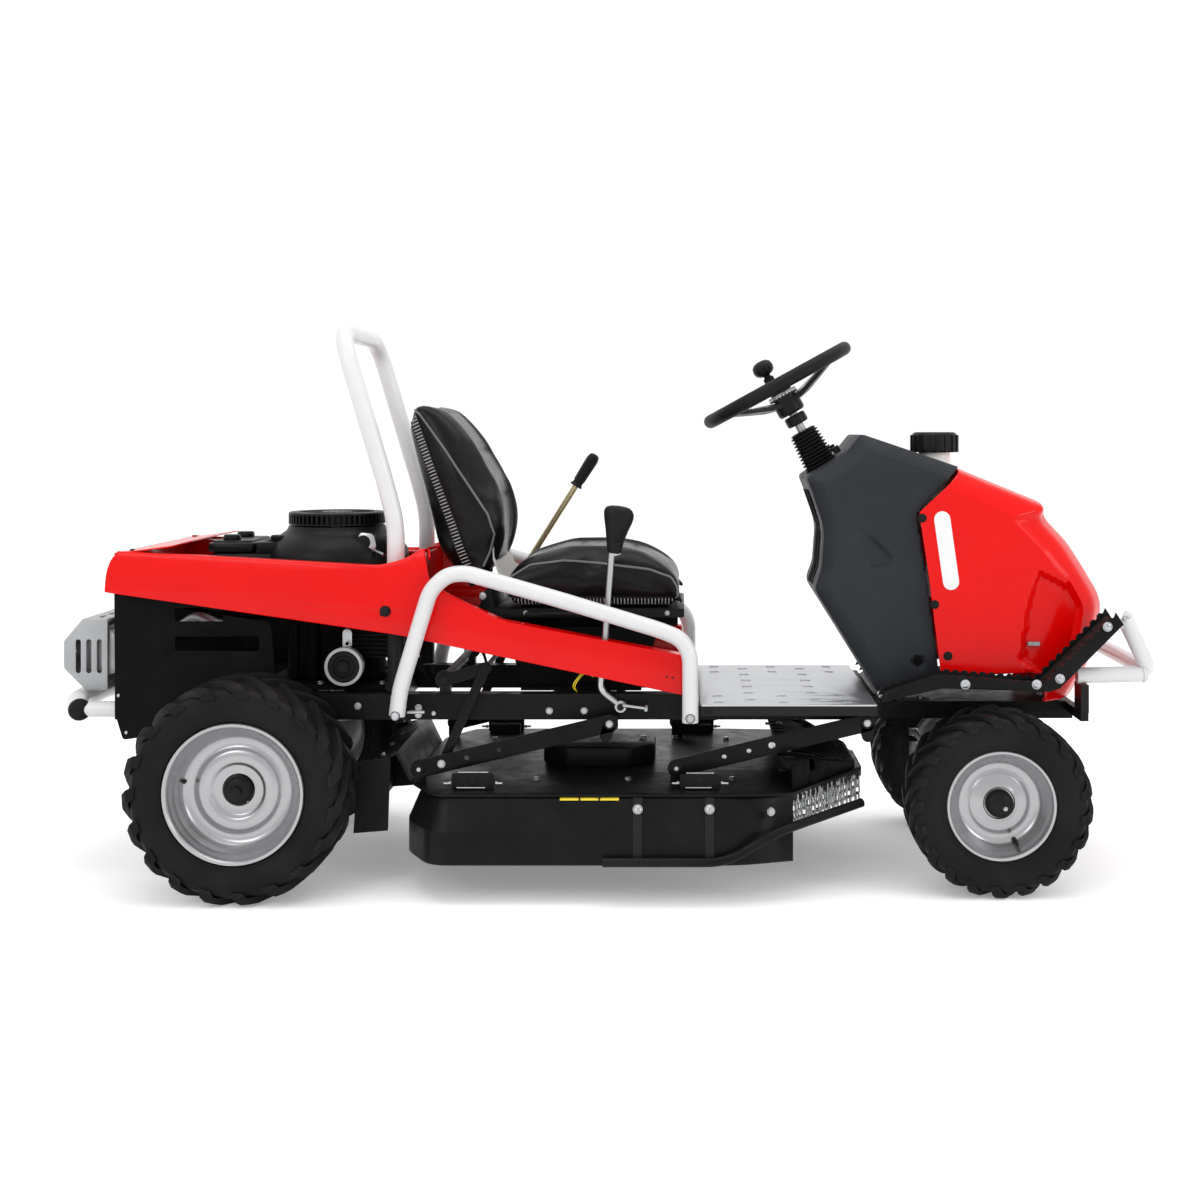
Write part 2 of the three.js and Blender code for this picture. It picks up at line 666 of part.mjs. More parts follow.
function liftLinks() {
  const pieces = [pinY(LIFT_CRANK, [-278, 278], 6)];
  for (const { side } of SIDES) {
    pieces.push(bar(LIFT_CRANK, LIFT_LINK_FOOT, 11, onSide(side, 277, 282)));
  }
  return join(...pieces);
}

// ---------- cutter deck ----------
function mirrored(points) {
  const far = points.map(([x, y]) => [x, -y]).reverse();
  return [...points, ...far];
}

function deckShell() {
  const w = DECK.halfWidth;
  const plan = mirrored([[-440, -300], [-370, -w], [310, -w], [430, -400], [DECK.tip, -100]]);
  const hollow = mirrored([[-434, -298], [-366, 6 - w], [309, 6 - w], [417, -398],
    [425, -460], [700, -460]]);
  const outer = floorPlate(plan, [DECK.low, DECK.high]);
  const inner = floorPlate(hollow, [DECK.low - 10, DECK.high - 6]);
  const pieces = [
    cut(outer, inner),
    sidePlate([[-443, 230], [-436, 230], [-470, 300], [-556, 262], [-554, 256], [-474, 290]],
      [-244, 244]),
  ];
  const bores = [rod([SPINDLE_X, 0, 200], [SPINDLE_X, 0, 250], 16)];
  for (const { side } of SIDES) {
    const y = side * 456;
    pieces.push(tube([[11, y, 97], [278, y, 97], [397, y, 165], [592, side * 300, 193]], 10, 40, 8));
    for (const x of [60, 240]) {
      pieces.push(box([x, x + 20], onSide(side, w - 3, 456), [90, 104]));
    }
    for (const pivot of [ARM_PIVOT_REAR, ARM_PIVOT_FRONT]) {
      const [px, pz] = plus(pivot, ARM_VECTOR);
      pieces.push(box([px - 14, px + 14], onSide(side, 283, 292), [230, pz + 12]));
      pieces.push(pinY([px, pz], onSide(side, 291, 312), 8));
    }
  }
  return cut(join(...pieces, deckShield()), ...bores);
}

// A shield that is welded on the deck's top plate, open to the rear and slotted for the lift arms.
function deckShield() {
  const plan = mirrored([[404, -385], [430, -385], [596, -118]]);
  const profile = [[404, 234], [404, 300], [470, 297], [596, 252], [596, 234]];
  const under = [[380, 230], [380, 294], [469, 291], [585, 249], [590, 230]];
  const inner = mirrored([[380, -376], [428, -376], [590, -112]]);
  const shell = floorPlate(plan, [DECK.high - 1, 320]).intersect(sidePlate(profile, [-400, 400]));
  const armSlots = SIDES.map(({ side }) => box([400, 520], onSide(side, 292, 316), [268, 320]));
  return cut(shell, floorPlate(inner, [200, 320]).intersect(sidePlate(under, [-400, 400])),
    ...armSlots);
}

function beltCover() {
  const outer = floorPlate(mirrored([[-150, -60], [-90, -120], [60, -120], [120, -60]]),
    [DECK.high + GAP, 284]);
  const inner = floorPlate(mirrored([[-144, -57], [-87, -114], [57, -114], [114, -57]]), [200, 279]);
  return cut(outer, inner);
}

// Each curtain hangs below the slanted front edge of the deck.
const CURTAIN = { from: [432, 392], to: [608, 104], hinge: 220, foot: 150 };

function chainCurtain(side) {
  const [x0, y0] = CURTAIN.from;
  const [x1, y1] = CURTAIN.to;
  const length = Math.hypot(x1 - x0, y1 - y0);
  const normal = [(y0 - y1) / length * 4, (x1 - x0) / length * 4];
  const plan = [
    [x0 - normal[0], side * (y0 - normal[1])], [x1 - normal[0], side * (y1 - normal[1])],
    [x1, side * y1], [x0, side * y0],
  ];
  return floorPlate(plan, [CURTAIN.foot, 226]);
}

function rearFlap() {
  const wing = [[-486, 288], [-560, 276], [-571, 112], [-492, 118]];
  const wings = SIDES.map(({ side }) => sidePlate(wing, onSide(side, 248, 254)));
  const back = sidePlate([[-560, 240], [-554, 240], [-565, 112], [-571, 112]], [-252, 252]);
  return join(back, ...wings);
}

function bladeSpindle() {
  const shaft = rod([SPINDLE_X, 0, 100], [SPINDLE_X, 0, 268], 15);
  const pulley = turned([[0, 244], [72, 244], [60, 255], [72, 266], [0, 266]],
    [SPINDLE_X, 0, 0], [0, 0, 1], 24);
  const carrier = box([SPINDLE_X - 285, SPINDLE_X + 285], [-28, 28], [112, 122]);
  const pins = [-1, 1].map((s) => rod([SPINDLE_X + s * BLADE_PIVOT, 0, 96],
    [SPINDLE_X + s * BLADE_PIVOT, 0, 118], 7));
  return join(shaft, pulley, carrier, ...pins);
}

function swingBlade(direction) {
  const pivot = SPINDLE_X + direction * BLADE_PIVOT;
  const x = [pivot - direction * 22, pivot + direction * 128].sort((a, b) => a - b);
  return cut(box(x, [-24, 24], [100, 108]), rod([pivot, 0, 90], [pivot, 0, 120], 7.6));
}

// ---------- controls ----------
function driveLever() {
  const y = -270;
  const route = [[34.7, y, 413.5], [-3, y, 444], [8, y, 558], [24, y, 764], [36, y, 790]];
  return join(
    tube(route, 7, 24, 8),
    cut(pinY(DRIVE_PIVOT, [-278, -263], 14), pinY(DRIVE_PIVOT, [-300, -250], 8.6)),
    rod([26, y, 754], [37, y, 862], 32, 16),
  );
}

function brakePedal() {
  const pivot = [735, 605];
  return join(
    pinY(pivot, [171, 215], 10),
    bar(pivot, [655, 523], 8, [200, 208]),
    sidePlate([[640, 497], [654, 490], [672, 551], [658, 558]], [184, 262]),
  );
}

function seatLever() {
  return box([-180, -40], [-209, -201], [604, 616]);
}

// ---------- assembly ----------
add('chassis_frame', chassisFrame(), blackPaint);
add('tail_shell', tailShell(), redPaint);
add('rear_bumper', rearBumper(), whitePaint);
add('muffler', rod([-1190, -138, 512], [-1190, 138, 512], 56, 20), bareSteel);
add('muffler_guard', mufflerGuard(), greyPaint);
add('engine_block', engineBlock(), castAlloy);
add('blower_cover', blowerCover(), darkPlastic);
add('air_filter_cover', box([-949, -836], [-112, 112], [747, 788]), darkPlastic);
add('oil_filter', rod([-597, -238, 492], [-597, -152, 492], 44, 20), blackPaint);
add('engine_crank', crankAssembly(), bareSteel);
add('transaxle', transaxle(), castAlloy);
add('rops_hoop', ropsHoop(), whitePaint);
add('footplate', footplate(), treadPlate);
add('dash_column', dashColumn(), darkPlastic);
add('nose_hood', noseHood(), redPaint);
add('fuel_tank', fuelTank(), clearPlastic);
add('fuel_cap', rod([803, 0, 984 + GAP], [803, 0, 1034], 59, 24), darkPlastic);
add('front_bumper', frontBumper(), whitePaint);
add('battery', box([-150, 50], [-90, 90], [441, 560]), darkPlastic);
add('seat_support', seatSupport(), blackPaint);
add('seat_pan', seatPan(), blackPaint);
add('seat_cushion', sidePlate(CUSHION_SIDE, [-226, 226]), vinyl);
add('seat_back', sidePlate(BACK_SIDE, [-212, 212]), vinyl);
add('seat_lever', seatLever(), blackPaint);
add('front_axle', frontAxle(), blackPaint);
add('tie_rod', tieRod(), zinc);
add('steering_wheel', steeringWheel(), darkPlastic);
add('spinner_knob', spinnerKnob(), darkPlastic);
add('steering_boot', steeringBoot(), rubber);
add('steering_gear', steeringGear(), castAlloy);
add('rear_lift_arms', liftArms(ARM_PIVOT_REAR, 8.6, [-8, -28]), blackPaint);
add('front_lift_arms', liftArms(ARM_PIVOT_FRONT, 9.2, [2, -30]), blackPaint);
add('lift_lever', liftLever(), zinc);
add('lift_links', liftLinks(), bareSteel);
add('deck_shell', deckShell(), blackPaint);
add('belt_cover', beltCover(), blackPaint);
add('blade_spindle', bladeSpindle(), bareSteel);
add('blade_front', swingBlade(1), bareSteel);
add('blade_rear', swingBlade(-1), bareSteel);
add('rear_flap', rearFlap(), rubber);
add('drive_lever', driveLever(), zinc);
add('brake_pedal', brakePedal(), blackPaint);
for (const { side, word } of SIDES) {
  add(`rear_side_panel_${word}`, rearSidePanel(side), blackPaint);
  add(`side_guard_${word}`, sideGuard(side), whitePaint);
  add(`step_${word}`, sideStep(side), blackPaint);
  add(`rear_tyre_${word}`, tyre(REAR_AXLE, side), rubber);
  add(`rear_rim_${word}`, rearRim(side), greyPaint);
  add(`front_tyre_${word}`, tyre(FRONT_AXLE, side), rubber);
  add(`front_rim_${word}`, frontRim(side), greyPaint);
  add(`knuckle_${word}`, knuckle(side), castAlloy);
  add(`chain_curtain_${word}`, chainCurtain(side), zinc);
}

export default mower;
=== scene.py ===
# Ride-on brush mower: the visual model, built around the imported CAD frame.
# Lengths are written in millimetres and scaled once, when a mesh is made.
import math

import bmesh
import bpy
from mathutils import Matrix, Vector
from mathutils.bvhtree import BVHTree


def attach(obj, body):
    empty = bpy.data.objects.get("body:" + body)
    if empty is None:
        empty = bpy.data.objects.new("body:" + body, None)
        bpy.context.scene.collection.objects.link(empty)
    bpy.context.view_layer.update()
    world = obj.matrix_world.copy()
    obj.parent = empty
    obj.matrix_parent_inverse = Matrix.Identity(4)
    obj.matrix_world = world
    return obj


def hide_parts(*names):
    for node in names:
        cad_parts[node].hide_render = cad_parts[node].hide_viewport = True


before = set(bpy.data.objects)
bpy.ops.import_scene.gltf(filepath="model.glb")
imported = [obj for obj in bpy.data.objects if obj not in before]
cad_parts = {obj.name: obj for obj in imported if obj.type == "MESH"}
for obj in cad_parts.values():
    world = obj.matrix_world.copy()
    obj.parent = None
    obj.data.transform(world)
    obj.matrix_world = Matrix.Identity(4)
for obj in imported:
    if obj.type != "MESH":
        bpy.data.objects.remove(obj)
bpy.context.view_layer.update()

MM = 0.001
SIDES = (("right", -1), ("left", 1))      # a word for names, and the sign of Y
UP = (0, 0, 1)
ACROSS = (0, 1, 0)

# ---------- driving dimensions, as in the CAD model ----------
REAR = {"x": -794, "z": 245, "y": 370, "radius": 245, "width": 200, "bead": 148}
FRONT = {"x": 893, "z": 205, "y": 322.5, "radius": 205, "width": 165, "bead": 117}
RAIL_MID = 237
RIM_CENTRE = Vector((418, 0, 1149))
COLUMN = Vector((-0.482, 0, 0.876)).normalized()
ARM_REAR = (20, 373)
ARM_FRONT = (604, 375)
ARM_VECTOR = (-432, -103)
LIFT_SHAFT = (-361, 466)
LIFT_CRANK = (-265, 493.9)
LIFT_FOOT = (-361, 282)
CRANK_X = -660


# ---------- shapes: each returns (points, faces), in millimetres ----------
def round_path(corners, bend, steps=6):
    """Straight runs joined by round bends."""
    points = [Vector(c) for c in corners]
    path = [points[0]]
    for before, here, after in zip(points, points[1:], points[2:]):
        back, ahead = before - here, after - here
        trim = min(bend, back.length * 0.49, ahead.length * 0.49)
        enter = here + back.normalized() * trim
        leave = here + ahead.normalized() * trim
        for i in range(steps + 1):
            t = i / steps
            path.append(enter * (1 - t) ** 2 + here * (2 * t * (1 - t)) + leave * t ** 2)
    path.append(points[-1])
    return path


def sweep(path, radius, sides=16, closed=False):
    """A round section carried along a path; radius is one number or one for each point."""
    path = [Vector(p) for p in path]
    count = len(path)
    radii = radius if isinstance(radius, (list, tuple)) else [radius] * count
    tangents = []
    for i in range(count):
        if closed:
            a, b = path[i - 1], path[(i + 1) % count]
        else:
            a, b = path[max(i - 1, 0)], path[min(i + 1, count - 1)]
        arriving = (path[i] - a).normalized()
        leaving = (b - path[i]).normalized()
        tangents.append((arriving + leaving).normalized())
    normal = tangents[0].orthogonal().normalized()
    points, faces = [], []
    for i in range(count):
        if i:
            turn = tangents[i - 1].rotation_difference(tangents[i])
            normal = turn @ normal
        side = tangents[i].cross(normal).normalized()
        for k in range(sides):
            angle = 2 * math.pi * k / sides
            offset = normal * math.cos(angle) + side * math.sin(angle)
            points.append(path[i] + offset * radii[i])
    last = count if closed else count - 1
    for i in range(last):
        for k in range(sides):
            n = (k + 1) % sides
            j = (i + 1) % count
            faces.append((i * sides + k, i * sides + n, j * sides + n, j * sides + k))
    if not closed:
        faces.append(tuple(range(sides))[::-1])
        faces.append(tuple((count - 1) * sides + k for k in range(sides)))
    return points, faces


def lathe(profile, origin, axis, sides=48):
    """A profile of (radius, distance along the axis), turned; it ends on itself or on the axis."""
    axis = Vector(axis).normalized()
    across = axis.orthogonal().normalized()
    other = axis.cross(across)
    origin = Vector(origin)
    closed = profile[0] == profile[-1]
    rows = profile[:-1] if closed else profile
    points, starts = [], []
    for radius, height in rows:
        starts.append(len(points))
        if radius == 0:
            points.append(origin + axis * height)
            continue
        for k in range(sides):
            angle = 2 * math.pi * k / sides
            spoke = across * math.cos(angle) + other * math.sin(angle)
            points.append(origin + axis * height + spoke * radius)
    faces = []
    pairs = list(zip(range(len(rows)), range(1, len(rows))))
    if closed:
        pairs.append((len(rows) - 1, 0))
    for a, b in pairs:
        tip_a, tip_b = rows[a][0] == 0, rows[b][0] == 0
        for k in range(sides):
            n = (k + 1) % sides
            if tip_a and tip_b:
                continue
            if tip_a:
                faces.append((starts[a], starts[b] + n, starts[b] + k))
            elif tip_b:
                faces.append((starts[a] + k, starts[a] + n, starts[b]))
            else:
                faces.append((starts[a] + k, starts[a] + n, starts[b] + n, starts[b] + k))
    return points, faces


def block(x, y, z):
    points = [Vector((a, b, c)) for c in z for b in y for a in x]
    faces = [(0, 2, 3, 1), (4, 5, 7, 6), (0, 1, 5, 4), (2, 6, 7, 3), (0, 4, 6, 2), (1, 3, 7, 5)]
    return points, faces


def on_side(side, near, far):
    """The span of Y between two distances from the middle, on one side."""
    return sorted((side * near, side * far))


def across_plane(plane, u, v, depth):
    """A point from outline coordinates: XZ is a side view, XY a top view, YZ a front view."""
    if plane == "XZ":
        return Vector((u, depth, v))
    if plane == "XY":
        return Vector((u, v, depth))
    return Vector((depth, u, v))


def prism(outline, depth):
    """A solid between two depths of Y, from an outline in X and Z."""
    count = len(outline)
    points = [Vector((x, y, z)) for y in depth for x, z in outline]
    faces = [tuple(range(count)), tuple(range(2 * count - 1, count - 1, -1))]
    for i in range(count):
        n = (i + 1) % count
        faces.append((i, i + count, n + count, n))
    return points, faces


def rounded(outline, radius, steps=4):
    """The outline with round corners; radius is one number or one for each corner."""
    made = []
    count = len(outline)
    for i, here in enumerate(outline):
        size = radius[i] if isinstance(radius, (list, tuple)) else radius
        here = Vector(here)
        back = Vector(outline[i - 1]) - here
        ahead = Vector(outline[(i + 1) % count]) - here
        trim = min(size, back.length * 0.48, ahead.length * 0.48)
        if trim < 0.01:
            made.append(tuple(here))
            continue
        enter = here + back.normalized() * trim
        leave = here + ahead.normalized() * trim
        for k in range(steps + 1):
            t = k / steps
            made.append(tuple(enter * (1 - t) ** 2 + here * (2 * t * (1 - t)) + leave * t ** 2))
    return made


def oval(u, v, length, width, angle=0.0, steps=6):
    """A slot outline with round ends; with length equal to width it is a circle."""
    reach = max(length - width, 0) / 2
    made = []
    for end in (1, -1):
        for k in range(steps + 1):
            a = -math.pi / 2 + math.pi * k / steps
            made.append((end * (reach + math.cos(a) * width / 2), end * math.sin(a) * width / 2))
    turn = Matrix.Rotation(angle, 2)
    return [(u + (turn @ Vector(p)).x, v + (turn @ Vector(p)).y) for p in made]


def plate(outline, depth, plane="XZ", holes=(), edge=0.6):
    """A flat sheet with holes and slightly rounded edges."""
    curve = bpy.data.curves.new("outline", "CURVE")
    curve.dimensions = "2D"
    curve.fill_mode = "BOTH"
    thick = depth[1] - depth[0]
    curve.extrude = thick / 2 - edge
    curve.bevel_depth = edge
    curve.bevel_resolution = 1
    curve.offset = -edge
    for loop in (outline, *holes):
        spline = curve.splines.new("POLY")
        spline.points.add(len(loop) - 1)
        for point, (u, v) in zip(spline.points, loop):
            point.co = (u, v, 0, 1)
        spline.use_cyclic_u = True
    holder = bpy.data.objects.new("outline", curve)
    bpy.context.scene.collection.objects.link(holder)
    bpy.context.view_layer.update()
    mesh = bpy.data.meshes.new_from_object(
        holder.evaluated_get(bpy.context.evaluated_depsgraph_get()))
    middle = (depth[0] + depth[1]) / 2
    points = [across_plane(plane, p.co.x, p.co.y, middle + p.co.z) for p in mesh.vertices]
    faces = [tuple(f.vertices) for f in mesh.polygons]
    bpy.data.objects.remove(holder)
    bpy.data.curves.remove(curve)
    bpy.data.meshes.remove(mesh)
    return points, faces


def bar(a, b, radius, depth, holes=()):
    """A flat bar with round ends between two points in X and Z."""
    steps = 8
    angle = math.atan2(b[1] - a[1], b[0] - a[0])
    outline = []
    for centre, start in ((a, angle + math.pi / 2), (b, angle - math.pi / 2)):
        for k in range(steps + 1):
            turn = start + math.pi * k / steps
            outline.append((centre[0] + radius * math.cos(turn),
                            centre[1] + radius * math.sin(turn)))
    return plate(outline, depth, "XZ", holes)


def cylinder(start, end, radius, sides=24, edge=0.0):
    """A round bar between two points, with bevelled ends where edge is given."""
    start, end = Vector(start), Vector(end)
    length = (end - start).length
    profile = [(0, 0), (radius - edge, 0), (radius, edge), (radius, length - edge),
               (radius - edge, length), (0, length)]
    if edge == 0:
        profile = [(0, 0), (radius, 0), (radius, length), (0, length)]
    return lathe(profile, start, end - start, sides)


def moved(shape, matrix):
    points, faces = shape
    return [matrix @ Vector(p) for p in points], faces


def mirrored(shape):
    """The same shape on the other side of the machine."""
    points, faces = shape
    return [Vector((p[0], -p[1], p[2])) for p in points], [f[::-1] for f in faces]


def bolt(place, normal, size=8):
    """A hexagon head on a washer; size is the thread's diameter."""
    place, normal = Vector(place), Vector(normal).normalized()
    foot = 1.4
    washer = [(0, -0.5), (size * 1.05, -0.5), (size * 1.05, 1.2), (size, 1.6), (0, 1.6)]
    head = [(0, foot), (size * 0.92, foot), (size * 0.92, foot + size * 0.5),
            (size * 0.78, foot + size * 0.62), (0, foot + size * 0.62)]
    return [lathe(washer, place, normal, 20), lathe(head, place, normal, 6)]


def dome(place, normal, radius, height=0.5):
    """A round-headed bolt."""
    rise = radius * height
    profile = [(0, -0.5), (radius, -0.5), (radius, rise * 0.2)]
    for k in range(1, 6):
        a = math.pi / 2 * k / 5
        profile.append((radius * math.cos(a) if k < 5 else 0, rise * (0.2 + 0.8 * math.sin(a))))
    return [lathe(profile, place, normal, 20)]


# ---------- pieces ----------
def piece(name, body, groups, replaces=(), bevel=0.0, sharp=38):
    """One object from groups of (material, shapes); it rides on a body, and replaces CAD nodes."""
    bm = bmesh.new()
    mesh = bpy.data.meshes.new(name)
    for index, (material, shapes) in enumerate(groups):
        mesh.materials.append(material)
        for points, faces in shapes:
            made = [bm.verts.new(Vector(p) * MM) for p in points]
            for face in faces:
                if len(set(face)) < 3:
                    continue
                try:
                    bm.faces.new([made[i] for i in face]).material_index = index
                except ValueError:
                    pass
    bmesh.ops.remove_doubles(bm, verts=bm.verts, dist=1e-6)
    bmesh.ops.recalc_face_normals(bm, faces=bm.faces)
    bm.to_mesh(mesh)
    bm.free()
    mesh.shade_smooth()
    mesh.set_sharp_from_angle(angle=math.radians(sharp))
    made = bpy.data.objects.new(name, mesh)
    bpy.context.scene.collection.objects.link(made)
    if bevel:
        rounding = made.modifiers.new("rounding", "BEVEL")
        rounding.width = bevel * MM
        rounding.segments = 2
        rounding.limit_method = "ANGLE"
        rounding.angle_limit = math.radians(40)
        rounding.harden_normals = True
    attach(made, body)
    if replaces:
        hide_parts(*replaces)
    return made


# ---------- materials ----------
def nodes_of(name):
    material = bpy.data.materials.new(name)
    material.use_nodes = True
    tree = material.node_tree
    return material, tree, tree.nodes["Principled BSDF"]


def noise(tree, scale, detail=4.0, stretch=(1, 1, 1)):
    coordinates = tree.nodes.new("ShaderNodeTexCoord")
    mapping = tree.nodes.new("ShaderNodeMapping")
    mapping.inputs["Scale"].default_value = stretch
    texture = tree.nodes.new("ShaderNodeTexNoise")
    texture.inputs["Scale"].default_value = scale
    texture.inputs["Detail"].default_value = detail
    tree.links.new(coordinates.outputs["Object"], mapping.inputs["Vector"])
    tree.links.new(mapping.outputs["Vector"], texture.inputs["Vector"])
    return texture


def ramp(tree, source, low, high, start=0.35, stop=0.65):
    made = tree.nodes.new("ShaderNodeValToRGB")
    made.color_ramp.elements[0].position = start
    made.color_ramp.elements[1].position = stop
    made.color_ramp.elements[0].color = (*low, 1)
    made.color_ramp.elements[1].color = (*high, 1)
    tree.links.new(source, made.inputs["Fac"])
    return made


def finish(name, color, rough, metallic=0.0, coat=0.0, grain=(600, 0.05), tint=0.1,
           wear=None, stretch=(1, 1, 1), spread=0.08, specular=0.5, cells=0):
    """A surface with uneven colour and gloss, a fine relief, and paler edges where wear is given."""
    mottle = 9
    material, tree, shader = nodes_of(name)
    shader.inputs["Metallic"].default_value = metallic
    shader.inputs["Coat Weight"].default_value = coat
    shader.inputs["Coat Roughness"].default_value = 0.08
    shader.inputs["Specular IOR Level"].default_value = specular
    cloud = noise(tree, mottle, 5)
    low = tuple(c * (1 - tint) for c in color)
    high = tuple(min(c * (1 + tint), 1) for c in color)
    shade = ramp(tree, cloud.outputs["Fac"], low, high)
    colour = shade.outputs["Color"]
    if wear:
        shape = tree.nodes.new("ShaderNodeNewGeometry")
        edge = ramp(tree, shape.outputs["Pointiness"], (0, 0, 0), (1, 1, 1), 0.53, 0.62)
        blend = tree.nodes.new("ShaderNodeMix")
        blend.data_type = "RGBA"
        blend.inputs[7].default_value = (*wear, 1)
        tree.links.new(edge.outputs["Color"], blend.inputs[0])
        tree.links.new(colour, blend.inputs[6])
        colour = blend.outputs[2]
    tree.links.new(colour, shader.inputs["Base Color"])
    patches = noise(tree, mottle * 3.1, 3, stretch)
    gloss = tree.nodes.new("ShaderNodeMapRange")
    gloss.inputs["From Min"].default_value = 0.3
    gloss.inputs["From Max"].default_value = 0.7
    gloss.inputs["To Min"].default_value = max(rough - spread, 0.02)
    gloss.inputs["To Max"].default_value = min(rough + spread, 1)
    tree.links.new(patches.outputs["Fac"], gloss.inputs["Value"])
    tree.links.new(gloss.outputs["Result"], shader.inputs["Roughness"])
    relief = tree.nodes.new("ShaderNodeBump")
    relief.inputs["Distance"].default_value = 0.001
    relief.inputs["Strength"].default_value = grain[1]
    if cells:
        texture = tree.nodes.new("ShaderNodeTexVoronoi")
        texture.feature = "DISTANCE_TO_EDGE"
        texture.inputs["Scale"].default_value = cells
        coordinates = tree.nodes.new("ShaderNodeTexCoord")
        tree.links.new(coordinates.outputs["Object"], texture.inputs["Vector"])
        tree.links.new(texture.outputs["Distance"], relief.inputs["Height"])
    else:
        fine = noise(tree, grain[0], 3, stretch)
        tree.links.new(fine.outputs["Fac"], relief.inputs["Height"])
    tree.links.new(relief.outputs["Normal"], shader.inputs["Normal"])
    return material


RED = finish("red_gloss_paint", (0.66, 0.0, 0.0), 0.2, coat=0.12, grain=(260, 0.02), tint=0.03,
             spread=0.03, specular=0.16)
BLACK = finish("black_satin_paint", (0.0055, 0.0055, 0.006), 0.38, coat=0.02, grain=(700, 0.06),
               tint=0.3, wear=(0.015, 0.015, 0.015), specular=0.09)
BLACK_MATT = finish("black_matt_paint", (0.003, 0.003, 0.0032), 0.6, grain=(500, 0.08), tint=0.3,
                    specular=0.07)
WHITE = finish("white_satin_paint", (0.60, 0.60, 0.61), 0.32, coat=0.3, grain=(420, 0.04),
               tint=0.02,
               spread=0.03)
GREY = finish("light_grey_paint", (0.36, 0.37, 0.38), 0.4, metallic=0.3, grain=(420, 0.06),
              tint=0.06,
              spread=0.04)
RIM_SILVER = finish("silver_wheel_paint", (0.37, 0.37, 0.38), 0.26, metallic=0.85, coat=0.2,
                    grain=(900, 0.04), tint=0.02, spread=0.015)
PLASTIC = finish("dark_grey_plastic", (0.017, 0.019, 0.023), 0.52, grain=(1500, 0.14), tint=0.08,
                 wear=(0.03, 0.032, 0.036), specular=0.2)
PLASTIC_BLACK = finish("black_plastic", (0.006, 0.006, 0.0065), 0.38, grain=(1400, 0.08), tint=0.2,
                       specular=0.15)
MILKY = finish("milky_plastic", (0.78, 0.78, 0.74), 0.35, grain=(300, 0.03), tint=0.04)
RUBBER = finish("black_rubber", (0.007, 0.007, 0.007), 0.5, grain=(900, 0.12), tint=0.2,
                specular=0.13)
TYRE = finish("tyre_rubber", (0.008, 0.008, 0.0085), 0.56, grain=(500, 0.2), tint=0.25,
              wear=(0.018, 0.018, 0.018), specular=0.1)
VINYL = finish("black_vinyl", (0.004, 0.0036, 0.004), 0.28, cells=520, grain=(0, 0.2), tint=0.15,
               spread=0.05, specular=0.16)
PIPING = finish("dark_piping", (0.10, 0.10, 0.105), 0.35, grain=(1800, 0.1), tint=0.08)
ZIP = finish("grey_zip", (0.34, 0.34, 0.345), 0.45, grain=(1800, 0.2), tint=0.06)
LINING = finish("pale_lining", (0.42, 0.41, 0.39), 0.6, grain=(900, 0.2), tint=0.05)
ZINC = finish("yellow_zinc", (0.50, 0.42, 0.25), 0.32, metallic=0.95, grain=(900, 0.06), tint=0.15)
STEEL = finish("bright_steel", (0.42, 0.43, 0.44), 0.3, metallic=1.0, grain=(1200, 0.05), tint=0.1)
DULL_STEEL = finish("dull_steel", (0.30, 0.30, 0.31), 0.42, metallic=0.9, grain=(700, 0.1),
                    tint=0.2)
TREAD = finish("brushed_aluminium", (0.55, 0.56, 0.58), 0.34, metallic=0.95, grain=(500, 0.12),
               tint=0.03, spread=0.02, stretch=(1, 26, 1))
REFLECTOR = finish("white_reflector", (0.72, 0.72, 0.73), 0.2, coat=0.6, grain=(1200, 0.2),
                   tint=0.02)
YELLOW = finish("yellow_label", (0.75, 0.55, 0.02), 0.4, grain=(400, 0.02), tint=0.04)


# ---------- camera and light ----------
def stage():
    floor_material, tree, shader = nodes_of("studio_floor")
    shader.inputs["Roughness"].default_value = 0.9
    cloud = noise(tree, 0.6, 2)
    shade = ramp(tree, cloud.outputs["Fac"], (0.90, 0.90, 0.90), (0.92, 0.92, 0.92))
    tree.links.new(shade.outputs["Color"], shader.inputs["Base Color"])
    shader.inputs["Specular IOR Level"].default_value = 0.1
    shader.inputs["Emission Color"].default_value = (1, 1, 1, 1)
    shader.inputs["Emission Strength"].default_value = 0.22
    mesh = bpy.data.meshes.new("floor")
    reach = 40
    mesh.from_pydata([(-reach, -reach, 0), (reach, -reach, 0), (reach, reach, 0),
                      (-reach, reach, 0)],
                     [], [(0, 1, 2, 3)])
    mesh.materials.append(floor_material)
    floor = bpy.data.objects.new("floor", mesh)
    bpy.context.scene.collection.objects.link(floor)

    world = bpy.data.worlds.new("studio")
    bpy.context.scene.world = world
    world.use_nodes = True
    tree = world.node_tree
    tree.nodes["Background"].inputs["Color"].default_value = (1, 1, 1, 1)
    tree.nodes["Background"].inputs["Strength"].default_value = 1.02

    def lamp(name, place, target, size, power):
        data = bpy.data.lights.new(name, "AREA")
        data.shape = "RECTANGLE"
        data.size, data.size_y = size
        data.energy = power
        made = bpy.data.objects.new(name, data)
        made.location = place
        made.rotation_mode = "QUATERNION"
        made.rotation_quaternion = (Vector(target) - Vector(place)).to_track_quat("-Z", "Y")
        bpy.context.scene.collection.objects.link(made)

    lamp("top_softbox", (0.2, -0.4, 3.4), (0.1, 0, 0.5), (4.0, 1.6), 42)
    lamp("side_softbox", (-2.2, -3.4, 2.4), (0, 0, 0.5), (2.0, 1.4), 26)
    lamp("front_softbox", (3.4, -2.2, 1.9), (0.4, 0, 0.5), (1.4, 1.6), 22)


